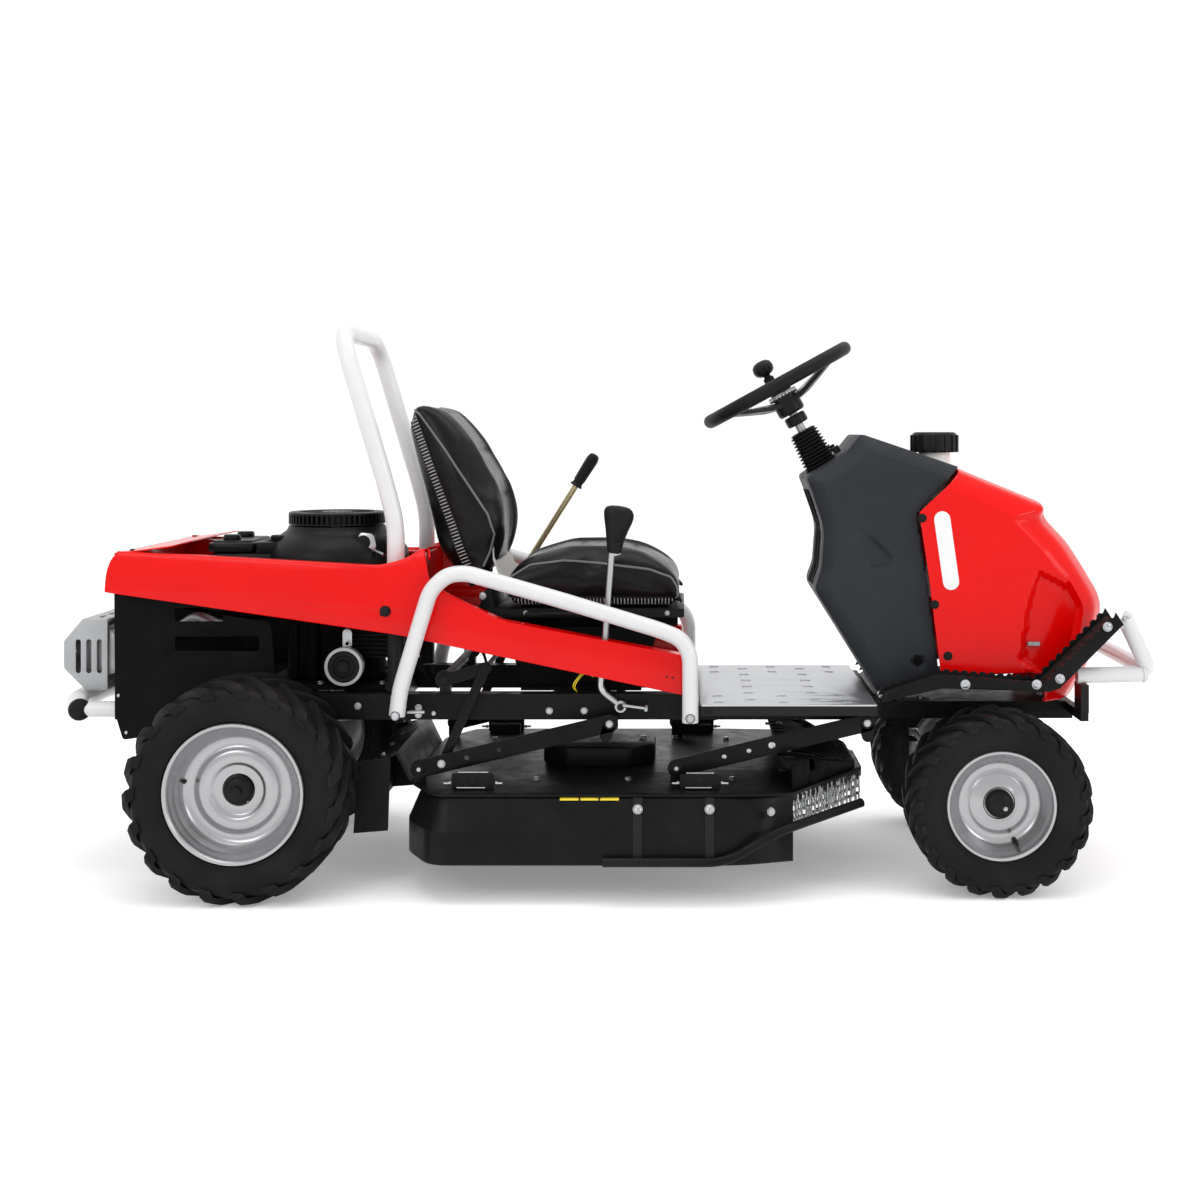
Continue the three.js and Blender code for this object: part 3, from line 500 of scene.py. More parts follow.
def camera():
    data = bpy.data.cameras.new("camera")
    data.sensor_width = 36
    data.lens = 50.2
    data.shift_x = -0.0667
    data.shift_y = -0.1417
    made = bpy.data.objects.new("camera", data)
    made.location = (0.180, -4.100, 1.039)
    made.rotation_euler = (math.pi / 2, 0, 0)
    bpy.context.scene.collection.objects.link(made)
    bpy.context.scene.camera = made
    bpy.context.scene.view_settings.view_transform = "Standard"


camera()
stage()


# ---------- wheels ----------
def tread_lug(axle, side, hand, start, depth, count):
    """One bar of the tread: it runs from the sidewall over the shoulder to the middle, slanting."""
    radius, half = axle["radius"], axle["width"] / 2
    pitch = 2 * math.pi / count
    wall = radius - axle["bead"]
    stations = (
        # across, foot radius, top radius, slant in pitches, half width in pitches
        (1.00, radius - wall * 0.34, radius - wall * 0.30, -0.10, 0.20),
        (1.015, radius - wall * 0.22, radius - depth * 1.15, 0.0, 0.21),
        (0.93, radius - depth * 1.4, radius - depth * 0.35, 0.14, 0.20),
        (0.80, radius - depth * 1.2, radius - depth * 0.08, 0.30, 0.18),
        (0.50, radius - depth * 1.1, radius - 0.3, 0.62, 0.16),
        (0.22, radius - depth * 1.05, radius, 0.90, 0.15),
        (-0.04, radius - depth * 1.05, radius, 1.12, 0.14),
    )
    points, faces = [], []
    centre = Vector((axle["x"], side * axle["y"], axle["z"]))
    for across, foot, top, slant, wide in stations:
        middle = start + slant * pitch
        for angle, r in ((middle - wide * pitch, foot), (middle - wide * pitch * 0.78, top),
                         (middle + wide * pitch * 0.78, top), (middle + wide * pitch, foot)):
            points.append(centre + Vector((r * math.cos(angle), hand * across * half,
                                           r * math.sin(angle))))
    for i in range(len(stations) - 1):
        for k in range(4):
            n = (k + 1) % 4
            faces.append((4 * i + k, 4 * i + n, 4 * i + 4 + n, 4 * i + 4 + k))
    faces.append((3, 2, 1, 0))
    end = 4 * (len(stations) - 1)
    faces.append((end, end + 1, end + 2, end + 3))
    return points, faces


def tyre(name, axle, side, body, node, count, depth):
    radius, half, bead = axle["radius"], axle["width"] / 2, axle["bead"]
    wall = radius - bead
    carcass = radius - depth
    outer = [(bead, 0.80), (bead + 5, 0.84), (bead + 9, 0.85), (bead + 11, 0.88),
             (bead + 15, 0.895), (bead + 17, 0.885), (bead + wall * 0.30, 0.955),
             (bead + wall * 0.42, 0.985), (bead + wall * 0.45, 0.998), (bead + wall * 0.49, 0.998),
             (bead + wall * 0.52, 0.985), (bead + wall * 0.62, 0.975),
             (carcass - wall * 0.12, 0.93),
             (carcass - wall * 0.045, 0.84), (carcass - 2, 0.62), (carcass, 0.3)]
    profile = [(r, -w * half) for r, w in outer]
    profile += [(r, w * half) for r, w in reversed(outer)]
    profile += [(bead, half * 0.66), (bead, -half * 0.66), profile[0]]
    centre = (axle["x"], side * axle["y"], axle["z"])
    shapes = [lathe(profile, centre, ACROSS, 96)]
    step = 2 * math.pi / count
    for i in range(count):
        shapes.append(tread_lug(axle, side, 1, i * step, depth, count))
        shapes.append(tread_lug(axle, side, -1, (i + 0.5) * step, depth, count))
    piece(name, body, [(TYRE, shapes)], (node,), bevel=1.2, sharp=30)


def rear_rim(name, side, body, node):
    b = REAR["bead"]
    centre = Vector((REAR["x"], side * REAR["y"], REAR["z"]))
    out = Vector((0, side, 0))
    disc = [(b - 2, -84), (b - 0.4, -84), (b - 0.4, 78), (b + 6, 84), (b + 8, 88), (b + 6, 92),
            (b, 92), (b - 4, 88), (b - 7, 78), (b - 10, 70), (b - 14, 62), (b - 20, 56),
            (b - 24, 48),
            (b - 30, 40), (b - 38, 37), (b - 46, 36), (94, 38), (90, 42), (84, 45), (66, 46),
            (60, 43), (56, 38), (52, 37), (36, 37), (34, 34), (34, 28), (90, 28), (b - 26, 30),
            (b - 8, 36), (b - 8, -78), (b - 2, -84)]
    shapes = [lathe(disc, centre, out, 72)]
    silver = list(shapes)
    silver += [lathe([(0, -112), (30, -112), (30, 30), (0, 30)], centre, out, 32)]
    cap = [lathe([(0, 30), (33, 30), (33, 44), (30, 50), (24, 54), (12, 56), (0, 56)], centre, out,
                 40),
           lathe([(0, 55), (12, 55), (12, 62), (9, 65), (0, 65)], centre, out, 6)]
    valve_foot = centre + Vector((-118, side * 40, 20))
    valve = [cylinder(valve_foot, valve_foot + Vector((3, side * 15, 0)), 3.2, 12),
             cylinder(valve_foot, valve_foot + Vector((1, side * 8, 0)), 5, 12)]
    piece(name, body, [(RIM_SILVER, silver), (PLASTIC_BLACK, cap + valve)], (node,),
          sharp=40)


def front_rim(name, side, body, node):
    b = FRONT["bead"]
    centre = Vector((FRONT["x"], side * FRONT["y"], FRONT["z"]))
    out = Vector((0, side, 0))
    disc = [(b - 2, -68), (b - 0.4, -68), (b - 0.4, 62), (b + 4, 66), (b + 6, 69), (b + 4, 73),
            (b - 1, 73), (b - 5, 68), (b - 8, 58), (b - 12, 50), (b - 18, 42), (b - 24, 32),
            (b - 32, 27), (72, 26), (66, 30), (60, 33), (46, 34), (42, 36), (36, 38), (34, 36),
            (34, 20), (70, 16), (b - 20, 20), (b - 8, 28), (b - 8, -62), (b - 2, -68)]
    hub = [lathe([(16.5, -49), (34, -49), (34, 34), (16.5, 34), (16.5, -49)], centre, out, 32)]
    cap = [lathe([(0, 34), (31, 34), (31, 46), (29, 52), (20, 58), (10, 60), (0, 60)], centre, out,
                 40)]
    nipple_at = centre + Vector((10, side * 58, -8))
    nipple = [cylinder(nipple_at, nipple_at + Vector((0, side * 9, 0)), 3.5, 10, 0.6),
              cylinder(nipple_at, nipple_at + Vector((0, side * 4, 0)), 5.5, 6, 0.4)]
    foot = centre + Vector((34, side * 30, -82))
    valve = [cylinder(foot, foot + Vector((3, side * 30, -7)), 3.4, 12, 0.5),
             cylinder(foot, foot + Vector((1, side * 13, -3)), 6, 12, 0.5)]
    piece(name, body,
          [(RIM_SILVER, [lathe(disc, centre, out, 72)] + hub), (PLASTIC_BLACK, cap + valve),
           (STEEL, nipple)], (node,), sharp=40)


def wheels():
    for word, side in SIDES:
        tyre(f"rear_tyre_lugs_{word}", REAR, side, f"rear_wheel_{word}", f"rear_tyre_{word}", 19,
             13)
        tyre(f"front_tyre_lugs_{word}", FRONT, side, f"front_wheel_{word}", f"front_tyre_{word}",
             21, 9)
        rear_rim(f"rear_wheel_disc_{word}", side, f"rear_wheel_{word}", f"rear_rim_{word}")
        front_rim(f"front_wheel_disc_{word}", side, f"front_wheel_{word}", f"front_rim_{word}")


# ---------- tubes: hoop, side guards, bumpers ----------
def weld(path, at, radius):
    """A bead of weld round a tube's foot."""
    return lathe([(radius - 1, -3), (radius + 2.6, -2), (radius + 3, 1), (radius - 1, 4),
                  (radius - 1, -3)], path[at], Vector(path[at + 1]) - Vector(path[at]), 28)


def hoop():
    def leg(y):
        return [(-476, y, 436), (-476, y, 822), (-497, y, 905), (-605, y, 1268)]
    path = round_path([(-476, -RAIL_MID, 600), *leg(-RAIL_MID)[1:], *reversed(leg(RAIL_MID)[1:]),
                       (-476, RAIL_MID, 600)], 88, 10)
    shapes = [sweep(path, 20.3, 32)]
    # the feet of the legs below the tail are black on a white tube: painted shade, standing for the
    # shadow under the tail
    painted_shade_feet = [cylinder((-476, side * RAIL_MID, 436), (-476, side * RAIL_MID, 601), 19.8, 28)
             for _, side in SIDES]
    piece("roll_over_hoop", "chassis", [(WHITE, shapes), (BLACK, painted_shade_feet)],
          ("rops_hoop",))


def side_guard(word, side):
    y = side * 330
    route = [(-458, 395), (-451, 453), (-383, 678), (-345, 712), (-304, 717), (-90, 656),
             (135, 588), (183, 568), (203, 532), (203, 380)]
    path = round_path([(x, y, z) for x, z in route], 30, 7)
    shapes = [sweep(path, 18.3, 28)]
    lugs, bolts = [], []
    for x, z, low, high in ((-459, 397, 386, 408), (203, 391, 380, 402)):
        lugs.append(block((x - 13, x + 13), on_side(side, 259, 322), (low, high)))
        lugs.append(cylinder((x, side * 322, z), (x, side * 349, z), 11, 20, 1))
        bolts += bolt((x, side * 349, z), (0, side, 0), 9)
    for x, z in ((-420, 402), (-420, 386)):
        bolts += bolt((x, side * 262, z), (0, side, 0), 8)
    bolts.append(cylinder((-440, side * 300, 398), (-400, side * 300, 398), 4, 12, 0.5))
    piece(f"side_guard_tube_{word}", "chassis",
          [(WHITE, shapes), (BLACK, lugs), (STEEL, bolts)], (f"side_guard_{word}",))


def front_bumper():
    y = 243
    hoop_path = round_path([(1206, -y, 604), (1261, -y, 485), (1261, y, 485), (1206, y, 604)], 38,
                           8)
    shapes = [sweep(hoop_path, 18.7, 28)]
    bolts = []
    for _, side in SIDES:
        lower = [(1094, side * y, 473), (1255, side * y, 477)]
        shapes.append(sweep(lower, 18.4, 28))
        shapes.append(weld([(1247, side * y, 477), (1258, side * y, 478)], 0, 18))
        shapes.append(plate(rounded([(1186, 588), (1204, 626), (1222, 616), (1206, 578)], 5),
                            sorted((side * (y + 8), side * (y + 12)))))
        bolts += bolt((1204, side * (y + 12), 604), (0, side, 0), 8)
    piece("front_bumper_tube", "chassis", [(WHITE, shapes), (STEEL, bolts)],
          ("front_bumper",))


def rear_bumper():
    bow = round_path([(-1203, -246, 395), (-1255, -125, 395), (-1255, 125, 395), (-1203, 246, 395)],
                     60, 8)
    shapes = [sweep(bow, 24.8, 32)]
    plugs = []
    for _, side in SIDES:
        shapes.append(sweep([(-1119, side * RAIL_MID, 395), (-1206, side * RAIL_MID, 395)], 18.3,
                            24))
        end = Vector((-1203, side * 246, 395))
        ahead = Vector((0.4, side, 0)).normalized()
        plugs.append(lathe([(0, -3), (25.4, -3), (25.6, 2), (24, 8), (18, 12), (8, 14), (0, 14.2)],
                           end, ahead, 32))
    piece("rear_bumper_tube", "chassis", [(WHITE, shapes), (RUBBER, plugs)],
          ("rear_bumper",))


wheels()
hoop()
for word, side in SIDES:
    side_guard(word, side)
front_bumper()
rear_bumper()


# ---------- body panels ----------
TAIL_SIDE = [(-1129, 670), (-1125, 720), (-1106, 761), (-503, 727), (-446, 743), (-401, 770),
             (-389, 686), (-230, 606), (185, 527), (185, 436), (-458, 572)]
DASH_SIDE = [(478, 926), (568, 980), (608, 1030), (838, 952), (734, 844), (756, 710), (788, 471),
             (664, 395), (497, 663), (514, 710), (521, 804), (490, 898)]
HOOD_SIDE = [(838, 951), (1045, 866), (1062, 828), (1115, 772), (1160, 702), (1190, 650),
             (1198, 620),
             (1180, 505), (1118, 402), (1034, 404), (1022, 474), (791, 460), (760, 710), (739, 846)]


def resample(outline, counts):
    """Points along a chain of corners: each run is cut into its own number of steps."""
    made = []
    for (a, b), steps in zip(zip(outline, outline[1:]), counts):
        for k in range(steps):
            t = k / steps
            made.append((a[0] + (b[0] - a[0]) * t, a[1] + (b[1] - a[1]) * t))
    made.append(outline[-1])
    return made


def strip(rows):
    """A sheet of faces through rows of points."""
    points = [Vector(p) for row in rows for p in row]
    width = len(rows[0])
    faces = []
    for i in range(len(rows) - 1):
        for k in range(width - 1):
            a, b = i * width + k, (i + 1) * width + k
            faces.append((a, a + 1, b + 1, b))
    return points, faces


def thick(shape, inward):
    """A closed shell from a sheet of faces; inward gives the offset of each point."""
    points, faces = shape
    count = len(points)
    inner = [p + inward(p) for p in points]
    made = list(faces) + [tuple(i + count for i in reversed(f)) for f in faces]
    edges = {}
    for f in faces:
        for a, b in zip(f, f[1:] + f[:1]):
            edges[(a, b)] = edges.get((a, b), 0) + 1
    for a, b in edges:
        if (b, a) not in edges:
            made.append((b, a, a + count, b + count))
    return points + inner, made


def tail_shell():
    red, bolts, dark = [], [], []
    for _, side in SIDES:
        outline = rounded(TAIL_SIDE, [4, 20, 26, 30, 30, 3, 26, 40, 6, 4, 26])
        hole = oval(-490, 627, 9, 9)
        red.append(plate(outline, on_side(side, 292, 298), "XZ", [hole], edge=2.4))
        bolts += bolt((-490, side * 298, 627), (0, side, 0), 12)
        dark.append(dome((-499, side * 298, 619), (0, side, 0), 3)[0])
        # the flange along the top of the long front part
        rows = []
        for x, z in ((-389, 688), (-310, 648.5), (-230, 608), (-60, 575.5), (66, 551.5),
                     (183, 529)):
            inner = 284 if x < -235 else 252
            rows.append([(x, side * 294, z - 0.6), (x, side * inner, z - 0.6)])
        if side < 0:
            def level(x):
                return 606 - (x + 230) * 79 / 415
            for a, b, inner, outer in ((-230, -48, 252, 294), (66, 183, 252, 294),
                                       (-48, 66, 283, 294), (-48, 66, 252, 257.5)):
                red.append(thick(strip([[(a, -outer, level(a)), (a, -inner, level(a))],
                                        [(b, -outer, level(b)), (b, -inner, level(b))]]),
                                 lambda p: Vector((-0.7, 0, -3.4))))
            rows = rows[:3]
        red.append(thick(strip(rows), lambda p: Vector((-0.8, 0, -3.4))))
        # the strip that carries the hoop's foot, with a pressed corner
        top = [(-1106, 759.6), (-503, 725.8), (-446, 741.6), (-401, 768.2)]
        rows = [[(x, side * 296, z), (x, side * 217, z)] for x, z in top]
        red.append(thick(strip(rows), lambda p: Vector((0, 0, -5))))
        red.append(sweep(round_path([(-1100, side * 291.5, 757.5), (-506, side * 291.5, 724.5),
                                     (-446, side * 291.5, 739), (-403, side * 291.5, 765)], 24, 5),
                         6.2, 14))
        # small marks near the front end
        for x, z in ((150, 478), (163, 476)):
            dark.append(cylinder((x, side * 297.4, z), (x, side * 298.6, z), 2.4, 10))
        bolts += bolt((-1080, side * 250, 760.5), UP, 6)
    rear = [(-1127, 672), (-1124.5, 718), (-1105, 758.5), (-978, 775.5)]
    rows = [[(x, y, z + (1.5 - 1.5 * (abs(y) / 292) ** 2)) for y in range(-292, 293, 73)]
            for x, z in resample(rear, (3, 4, 8))]
    red.append(thick(strip(rows), lambda p: Vector((3.6 if p.x < -1100 else 0.4, 0, -3.0))))
    fire = []
    ridge = rounded([(-292, 574), (-292, 736), (292, 736), (292, 574)], 4)
    fire.append(plate(ridge, (-448, -442.4), "YZ",
                      [oval(-120, 640, 46, 46), oval(150, 610, 90, 24)], edge=1.2))
    # pressed frame behind the seat, as one raised lip
    lip = round_path([(-445, -214, 736), (-402, -236, 766), (-395, -262, 744)], 14, 5)
    for _, side in SIDES:
        fire.append(sweep([Vector((p.x, p.y * -side, p.z)) for p in lip], 4, 12))
    piece("tail_shell_panels", "chassis",
          [(RED, red + fire), (BLACK, bolts + dark)], ("tail_shell",), sharp=32)


def side_panel(word, side):
    outline = rounded([(-1118, 675), (-1116, 388), (-1098, 328), (-742, 379), (-758, 598)],
                      [4, 4, 8, 14, 14])
    holes = []
    for low, high, start, stop in ((600, 630, -978, -868), (532, 566, -978, -785)):
        holes.append(rounded([(start, low), (stop, low), (stop, high), (start, high)], 4))
    shapes = [plate(outline, on_side(side, 258.6, 262.8), "XZ", holes, edge=1.0)]
    shapes.append(sweep([(-1114, side * 261.5, 434.5), (-745, side * 261.5, 434.5)], 1.2, 8))
    bolts = []
    for x, z in ((-1108, 430), (-758, 400), (-1090, 345)):
        bolts += dome((x, side * 262.8, z), (0, side, 0), 4)
    piece(f"slotted_side_panel_{word}", "chassis",
          [(BLACK_MATT, shapes), (STEEL, bolts)], (f"rear_side_panel_{word}",))


def guard():
    outline = [(-1171, 593), (-1230, 593), (-1274, 541), (-1274, 477), (-1222, 425), (-1171, 425)]
    shapes, bolts = [], []
    for _, side in SIDES:
        holes = [oval(x, 505, 80, 12, math.pi / 2) for x in (-1240, -1215, -1190)]
        shapes.append(plate(rounded(outline, 5), on_side(side, 148.2, 151.8), "XZ",
                            holes, edge=0.9))
        bolts += dome((-1128, side * 151.6, 422), (0, side, 0), 4.5)
    for (a, b) in zip(outline, outline[1:]):
        run = Vector((b[0] - a[0], 0, b[1] - a[1]))
        across = Vector(ACROSS)
        normal = run.cross(across).normalized()
        centre = Vector(((a[0] + b[0]) / 2, 0, (a[1] + b[1]) / 2))
        if (centre + normal - Vector((-1210, 0, 509))).length > (centre - Vector((-1210, 0,
                                                                                  509))).length:
            normal = -normal
        turn = Matrix((run.normalized(), across, normal)).transposed().to_4x4()
        turn.translation = centre
        half = run.length / 2 + 0.6
        cuts = []
        if run.length > 58:
            for y in (-96, -32, 32, 96):
                cuts.append(oval(0, y, 42, 10, math.pi / 2))
        outline_here = [(-half, -150), (half, -150), (half, 150), (-half, 150)]
        shapes.append(moved(plate(outline_here, (0, 3.4), "XY", cuts, edge=0.8), turn))
    piece("muffler_guard_cage", "chassis", [(GREY, shapes), (STEEL, bolts)],
          ("muffler_guard",))
    can = [(0, -138), (48, -138), (54, -135), (56, -130), (55, -122), (56, -116), (56, 116),
           (55, 122),
           (56, 130), (54, 135), (48, 138), (0, 138)]
    body = [lathe(can, (-1190, 0, 512), ACROSS, 48)]
    piece("muffler_can", "chassis", [(DULL_STEEL, body)], ("muffler",))


def inside(point, outline):
    """Whether a point lies within an outline."""
    hit = False
    for (x1, z1), (x2, z2) in zip(outline, outline[1:] + outline[:1]):
        if (z1 > point[1]) != (z2 > point[1]):
            if point[0] < (x2 - x1) * (point[1] - z1) / (z2 - z1) + x1:
                hit = not hit
    return hit


def edge_distance(point, outline):
    """How far a point is from an outline, and the nearest place on it."""
    p = Vector(point)
    best = None
    for a, b in zip(outline, outline[1:] + outline[:1]):
        a, b = Vector(a), Vector(b)
        run = b - a
        t = max(0, min(1, (p - a).dot(run) / run.length_squared))
        near = a + run * t
        gap = (p - near).length
        if best is None or gap < best[0]:
            best = (gap, near)
    return best


def smooth_step(low, high, value):
    t = max(0.0, min(1.0, (value - low) / (high - low)))
    return t * t * (3 - 2 * t)


def side_skin(outline, step, relief):
    """A side panel as a fine net of faces with a relief: relief(x, z) gives the half width there."""
    bm = bmesh.new()
    xs = [x for x, _ in outline]
    zs = [z for _, z in outline]
    bm.faces.new([bm.verts.new(Vector((x, 0, z))) for x, z in outline])
    bm.normal_update()
    x = math.floor(min(xs) / step) * step
    while x < max(xs):
        bmesh.ops.bisect_plane(bm, geom=bm.verts[:] + bm.edges[:] + bm.faces[:],
                               plane_co=(x + 0.01, 0, 0), plane_no=(1, 0, 0))
        x += step
    z = math.floor(min(zs) / step) * step
    while z < max(zs):
        bmesh.ops.bisect_plane(bm, geom=bm.verts[:] + bm.edges[:] + bm.faces[:],
                               plane_co=(0, 0, z + 0.01), plane_no=UP)
        z += step
    bm.verts.index_update()
    points = [Vector((v.co.x, relief(v.co.x, v.co.z), v.co.z)) for v in bm.verts]
    faces = [tuple(v.index for v in f.verts) for f in bm.faces]
    bm.free()
    return points, faces


def place_on(outline, u):
    """The point at a running position: the whole part is a corner, the rest a share of its run."""
    i = int(u) % len(outline)
    a, b = Vector(outline[i]), Vector(outline[(i + 1) % len(outline)])
    return a + (b - a) * (u - int(u))


def find_on(outline, p):
    """The running position of a point that lies on the outline, or None."""
    for i, a in enumerate(outline):
        a, b = Vector(a), Vector(outline[(i + 1) % len(outline)])
        run = b - a
        t = (Vector(p) - a).dot(run) / max(run.length_squared, 1e-9)
        if -1e-5 <= t <= 1 + 1e-5 and (Vector(p) - (a + run * t)).length < 0.01:
            return i + max(0.0, min(t, 0.999999)) if t < 0.99999 else (i + 1) % len(outline)
    return None


def faced_shell(corners, radii, chain, inset, rows_across, pull, relief, step):
    """A hollow body: two side faces and the skin that joins them along the first corners."""
    def shaped(t):
        return [(x + pull(i, t)[0], z + pull(i, t)[1]) for i, (x, z) in enumerate(corners)]

    def loop(t, amount):
        """The rounded outline at a width, moved inwards along the chain."""
        outline = shaped(t)
        count = len(outline)
        made = []
        for i, here in enumerate(outline):
            here = Vector(here)
            back = (Vector(outline[i - 1]) - here).normalized()
            ahead = (Vector(outline[(i + 1) % count]) - here).normalized()
            if i == 0:
                here = here + back * amount * 1.1
            elif i == chain - 1:
                here = here + ahead * amount * 1.1
            elif i < chain:
                left = Vector((ahead.y, -ahead.x))
                right = Vector((-back.y, back.x))
                middle_way = (left + right).normalized()
                here = here + middle_way * amount / max(middle_way.dot(left), 0.5)
            made.append(tuple(here))
        return rounded(made, radii, 4)

    flat = loop(1, inset)
    points, faces = side_skin(flat, step, relief)
    shapes = [(points, faces), mirrored((points, faces))]
    last = (chain - 1) * 5 + 4
    marks = []
    for p in points:
        u = find_on(flat, (p.x, p.z))
        if u is not None and u <= last + 1e-6:
            marks.append((u, p))
    marks.sort(key=lambda m: m[0])
    rows = [[p for _, p in marks]]
    for amount, y, t in rows_across:
        outline = loop(t, amount)
        rows.append([Vector((place_on(outline, u).x, y, place_on(outline, u).y))
                     for u, _ in marks])
    far = [[Vector((p.x, -p.y, p.z)) for p in row] for row in reversed(rows[:-1])]
    shapes.append(strip(rows + far))
    return shapes


def hollow(made, thickness):
    """Gives a skin the thickness of a sheet, inwards."""
    shell = made.modifiers.new("sheet", "SOLIDIFY")
    shell.thickness = thickness * MM
    shell.offset = -1
    return made


def hood():
    radii = [3, 26, 22, 20, 30, 40, 40, 70, 14, 8, 20, 3, 30, 8]

    def pull(i, t):
        return (-42 * t * t if 2 <= i <= 8 else 0, -14 * t ** 4 if i <= 1 else 0)

    top_left = [(1018, 716), (1160, 642), (1190, 560), (1150, 430), (1060, 430), (970, 500),
                (986, 610),
                (996, 655)]

    def relief(x, z):
        y = 189.5 - 24 * smooth_step(1010, 1170, x) ** 1.4
        if inside((x, z), top_left):
            gap = edge_distance((x, z), top_left)[0]
            right = 1 - smooth_step(1080, 1150, x)
            y -= 17 * smooth_step(0, 16, gap) * (0.35 + 0.65 * right)
        return y

    rows = [(30, 181.5, 1.0), (14, 169, 0.97), (6, 161, 0.95), (1.5, 152, 0.92), (0, 142, 0.88)]
    middle = [(0, 120, 0.66), (0, 84, 0.44), (0, 42, 0.22), (0, 0, 0.0)]
    shapes = faced_shell(HOOD_SIDE, radii, 9, 44, rows + middle, pull, relief, 8)
    made = piece("nose_hood_skin", "chassis", [(RED, shapes)], ("nose_hood",),
                 sharp=27)
    hollow(made, 4)

    strips, bolts, silver = [], [], []
    for _, side in SIDES:
        angle = math.atan2(-184, 26)
        strips.append(plate(oval(803, 757, 186, 38, angle, 10), on_side(side, 188.5, 191),
                            edge=0.9))
        for x, z in ((746, 833), (775, 631), (806, 511)):
            bolts += bolt((x, side * 189.6, z), (0, side, 0), 8)
            bolts.append(lathe([(0, 0), (10.5, 0), (10.5, 1.2), (0, 1.2)], (x, side * 189.4, z),
                               (0, side, 0), 24))
        silver.append(block((994, 1022), on_side(side, 172, 184), (534, 543)))
        silver.append(cylinder((1000, side * 176, 539), (1000, side * 188, 539), 5, 16, 1))
    piece("nose_hood_fittings", "chassis",
          [(REFLECTOR, strips), (BLACK, bolts), (DULL_STEEL, silver)])


def dash():
    order = [7, 8, 9, 10, 11, 0, 1, 2, 3, 4, 5, 6]
    corners = [DASH_SIDE[i] for i in order]
    radii = [4, 16, 14, 24, 10, 12, 10, 10, 3, 20, 30, 4]
    drop = [(578, 838), (669, 757), (679, 741), (677, 727), (668, 715), (655, 709), (630, 713),
            (584, 729), (540, 760), (545, 820)]

    def relief(x, z):
        y = 169.5
        if inside((x, z), drop):
            gap = edge_distance((x, z), drop)[0]
            y -= 11 * smooth_step(0, 9, gap) * smooth_step(562, 650, x)
        hole = math.hypot(x - 740, z - 494)
        y -= 12 * (1 - smooth_step(11, 16, hole))
        # a shallow facet above the seam to the hood, and one along the foot
        y -= 7 * smooth_step(0, 60, (x - 640) * 0.35 + (560 - z) * 0.9 - 90)
        return y

    rows = [(32, 169.0, 1.0), (29, 167.8, 1.0), (4, 150.5, 1.0), (1.2, 147.0, 1.0), (0, 143.0, 1.0)]
    middle = [(0, 70, 1.0), (0, 34, 1.0), (0, 0, 1.0)]
    shapes = faced_shell(corners, radii, 9, 34, rows + middle, lambda i, t: (0, 0), relief, 7)
    made = piece("dash_column_shell", "chassis", [(PLASTIC, shapes)],
                 ("dash_column",), sharp=28)
    hollow(made, 4)
    bolts, dark, slots = [], [], []
    for _, side in SIDES:
        dark += bolt((740, side * 158, 494), (0, side, 0), 8)
        bolts += dome((650, side * 163, 417), (0, side, 0), 8)
        for k in range(4):
            x, z = 702 + 8 * k, 467 - 7 * k
            turn = Matrix.Translation((x, side * 162.6, z)) @ Matrix.Rotation(math.radians(28), 4,
                                                                              "Y")
            slots.append(moved(block((-1.3, 1.3), (-1.2, 1.2), (-7, 7)), turn))
    # the groove down the middle of the driver's side
    groove = [(492, 893), (523.5, 804), (517, 712), (503, 668)]
    lines = [sweep([(x - 4, side * 52, z) for x, z in groove], 3, 10) for _, side in SIDES]
    lines.append(sweep([(x - 3.4, 0, z) for x, z in groove], 6, 10))
    ramp_side = [(636, 418.6), (652, 419), (700, 400), (700, 448), (668, 438)]
    lines.append(prism(ramp_side, (-164, 164)))
    collar = [lathe([(47, -3), (54, -3), (56, 1), (54, 5), (47, 6), (47, -3)],
                    RIM_CENTRE - COLUMN * 232, COLUMN, 36)]
    switch = [cylinder((560, -70, 985), (552, -70, 999), 9, 20, 1),
              cylinder((560, 70, 985), (552, 70, 999), 12, 20, 1),
              block((549, 551), (62, 78), (996, 1004))]
    piece("dash_column_fittings", "chassis",
          [(STEEL, bolts), (BLACK_MATT, dark + collar), (PLASTIC_BLACK, slots + lines + switch)])


def footplate():
    columns = []
    for i, x in enumerate((268, 342, 416, 490, 562)):
        ys = (-250, -150, -50, 50, 150, 250) if i % 2 else (-285, -195, 195, 285)
        columns += [oval(x, y, 22, 10.5) for y in ys]
    outline = rounded([(226, -319), (626, -319), (626, 319), (226, 319)], 5)
    sheet = [plate(outline, (414.2, 418.2), "XY", columns, edge=0.7)]
    rims = []
    for loop in columns:
        middle = sum((Vector(p) for p in loop), Vector((0, 0))) / len(loop)
        wider = [tuple(middle + (Vector(p) - middle) * 1.14) for p in loop]
        rims.append(plate(wider, (416.6, 419.0), "XY", [loop], edge=0.35))
    dark = []
    for _, side in SIDES:
        dark.append(block((226, 626), on_side(side, 316, 320), (393, 413.6)))
        dark.append(block((226, 626), on_side(side, 290, 318), (411.4, 413.9)))
        dark += bolt((245, side * 320, 403), (0, side, 0), 6)
    dark.append(block((224, 229), (-316, 316), (396, 413.9)))
    dark.append(block((232, 622), (-312, 312), (404, 407)))
    piece("footplate_sheet", "chassis", [(TREAD, sheet), (TREAD, rims),
                                                        (BLACK, dark)],
          ("footplate",))


def serrated(a, b, pitch, depth):
    a, b = Vector(a), Vector(b)
    run = b - a
    count = max(int(run.length / pitch), 1)
    down = Vector((run.y, -run.x)).normalized() * depth
    made = []
    for k in range(count):
        for part, low in ((0.0, 0), (0.42, 0), (0.56, 0.8), (0.68, 1), (0.82, 0.8)):
            made.append(tuple(a + run * ((k + part) / count) + down * low))
    return made


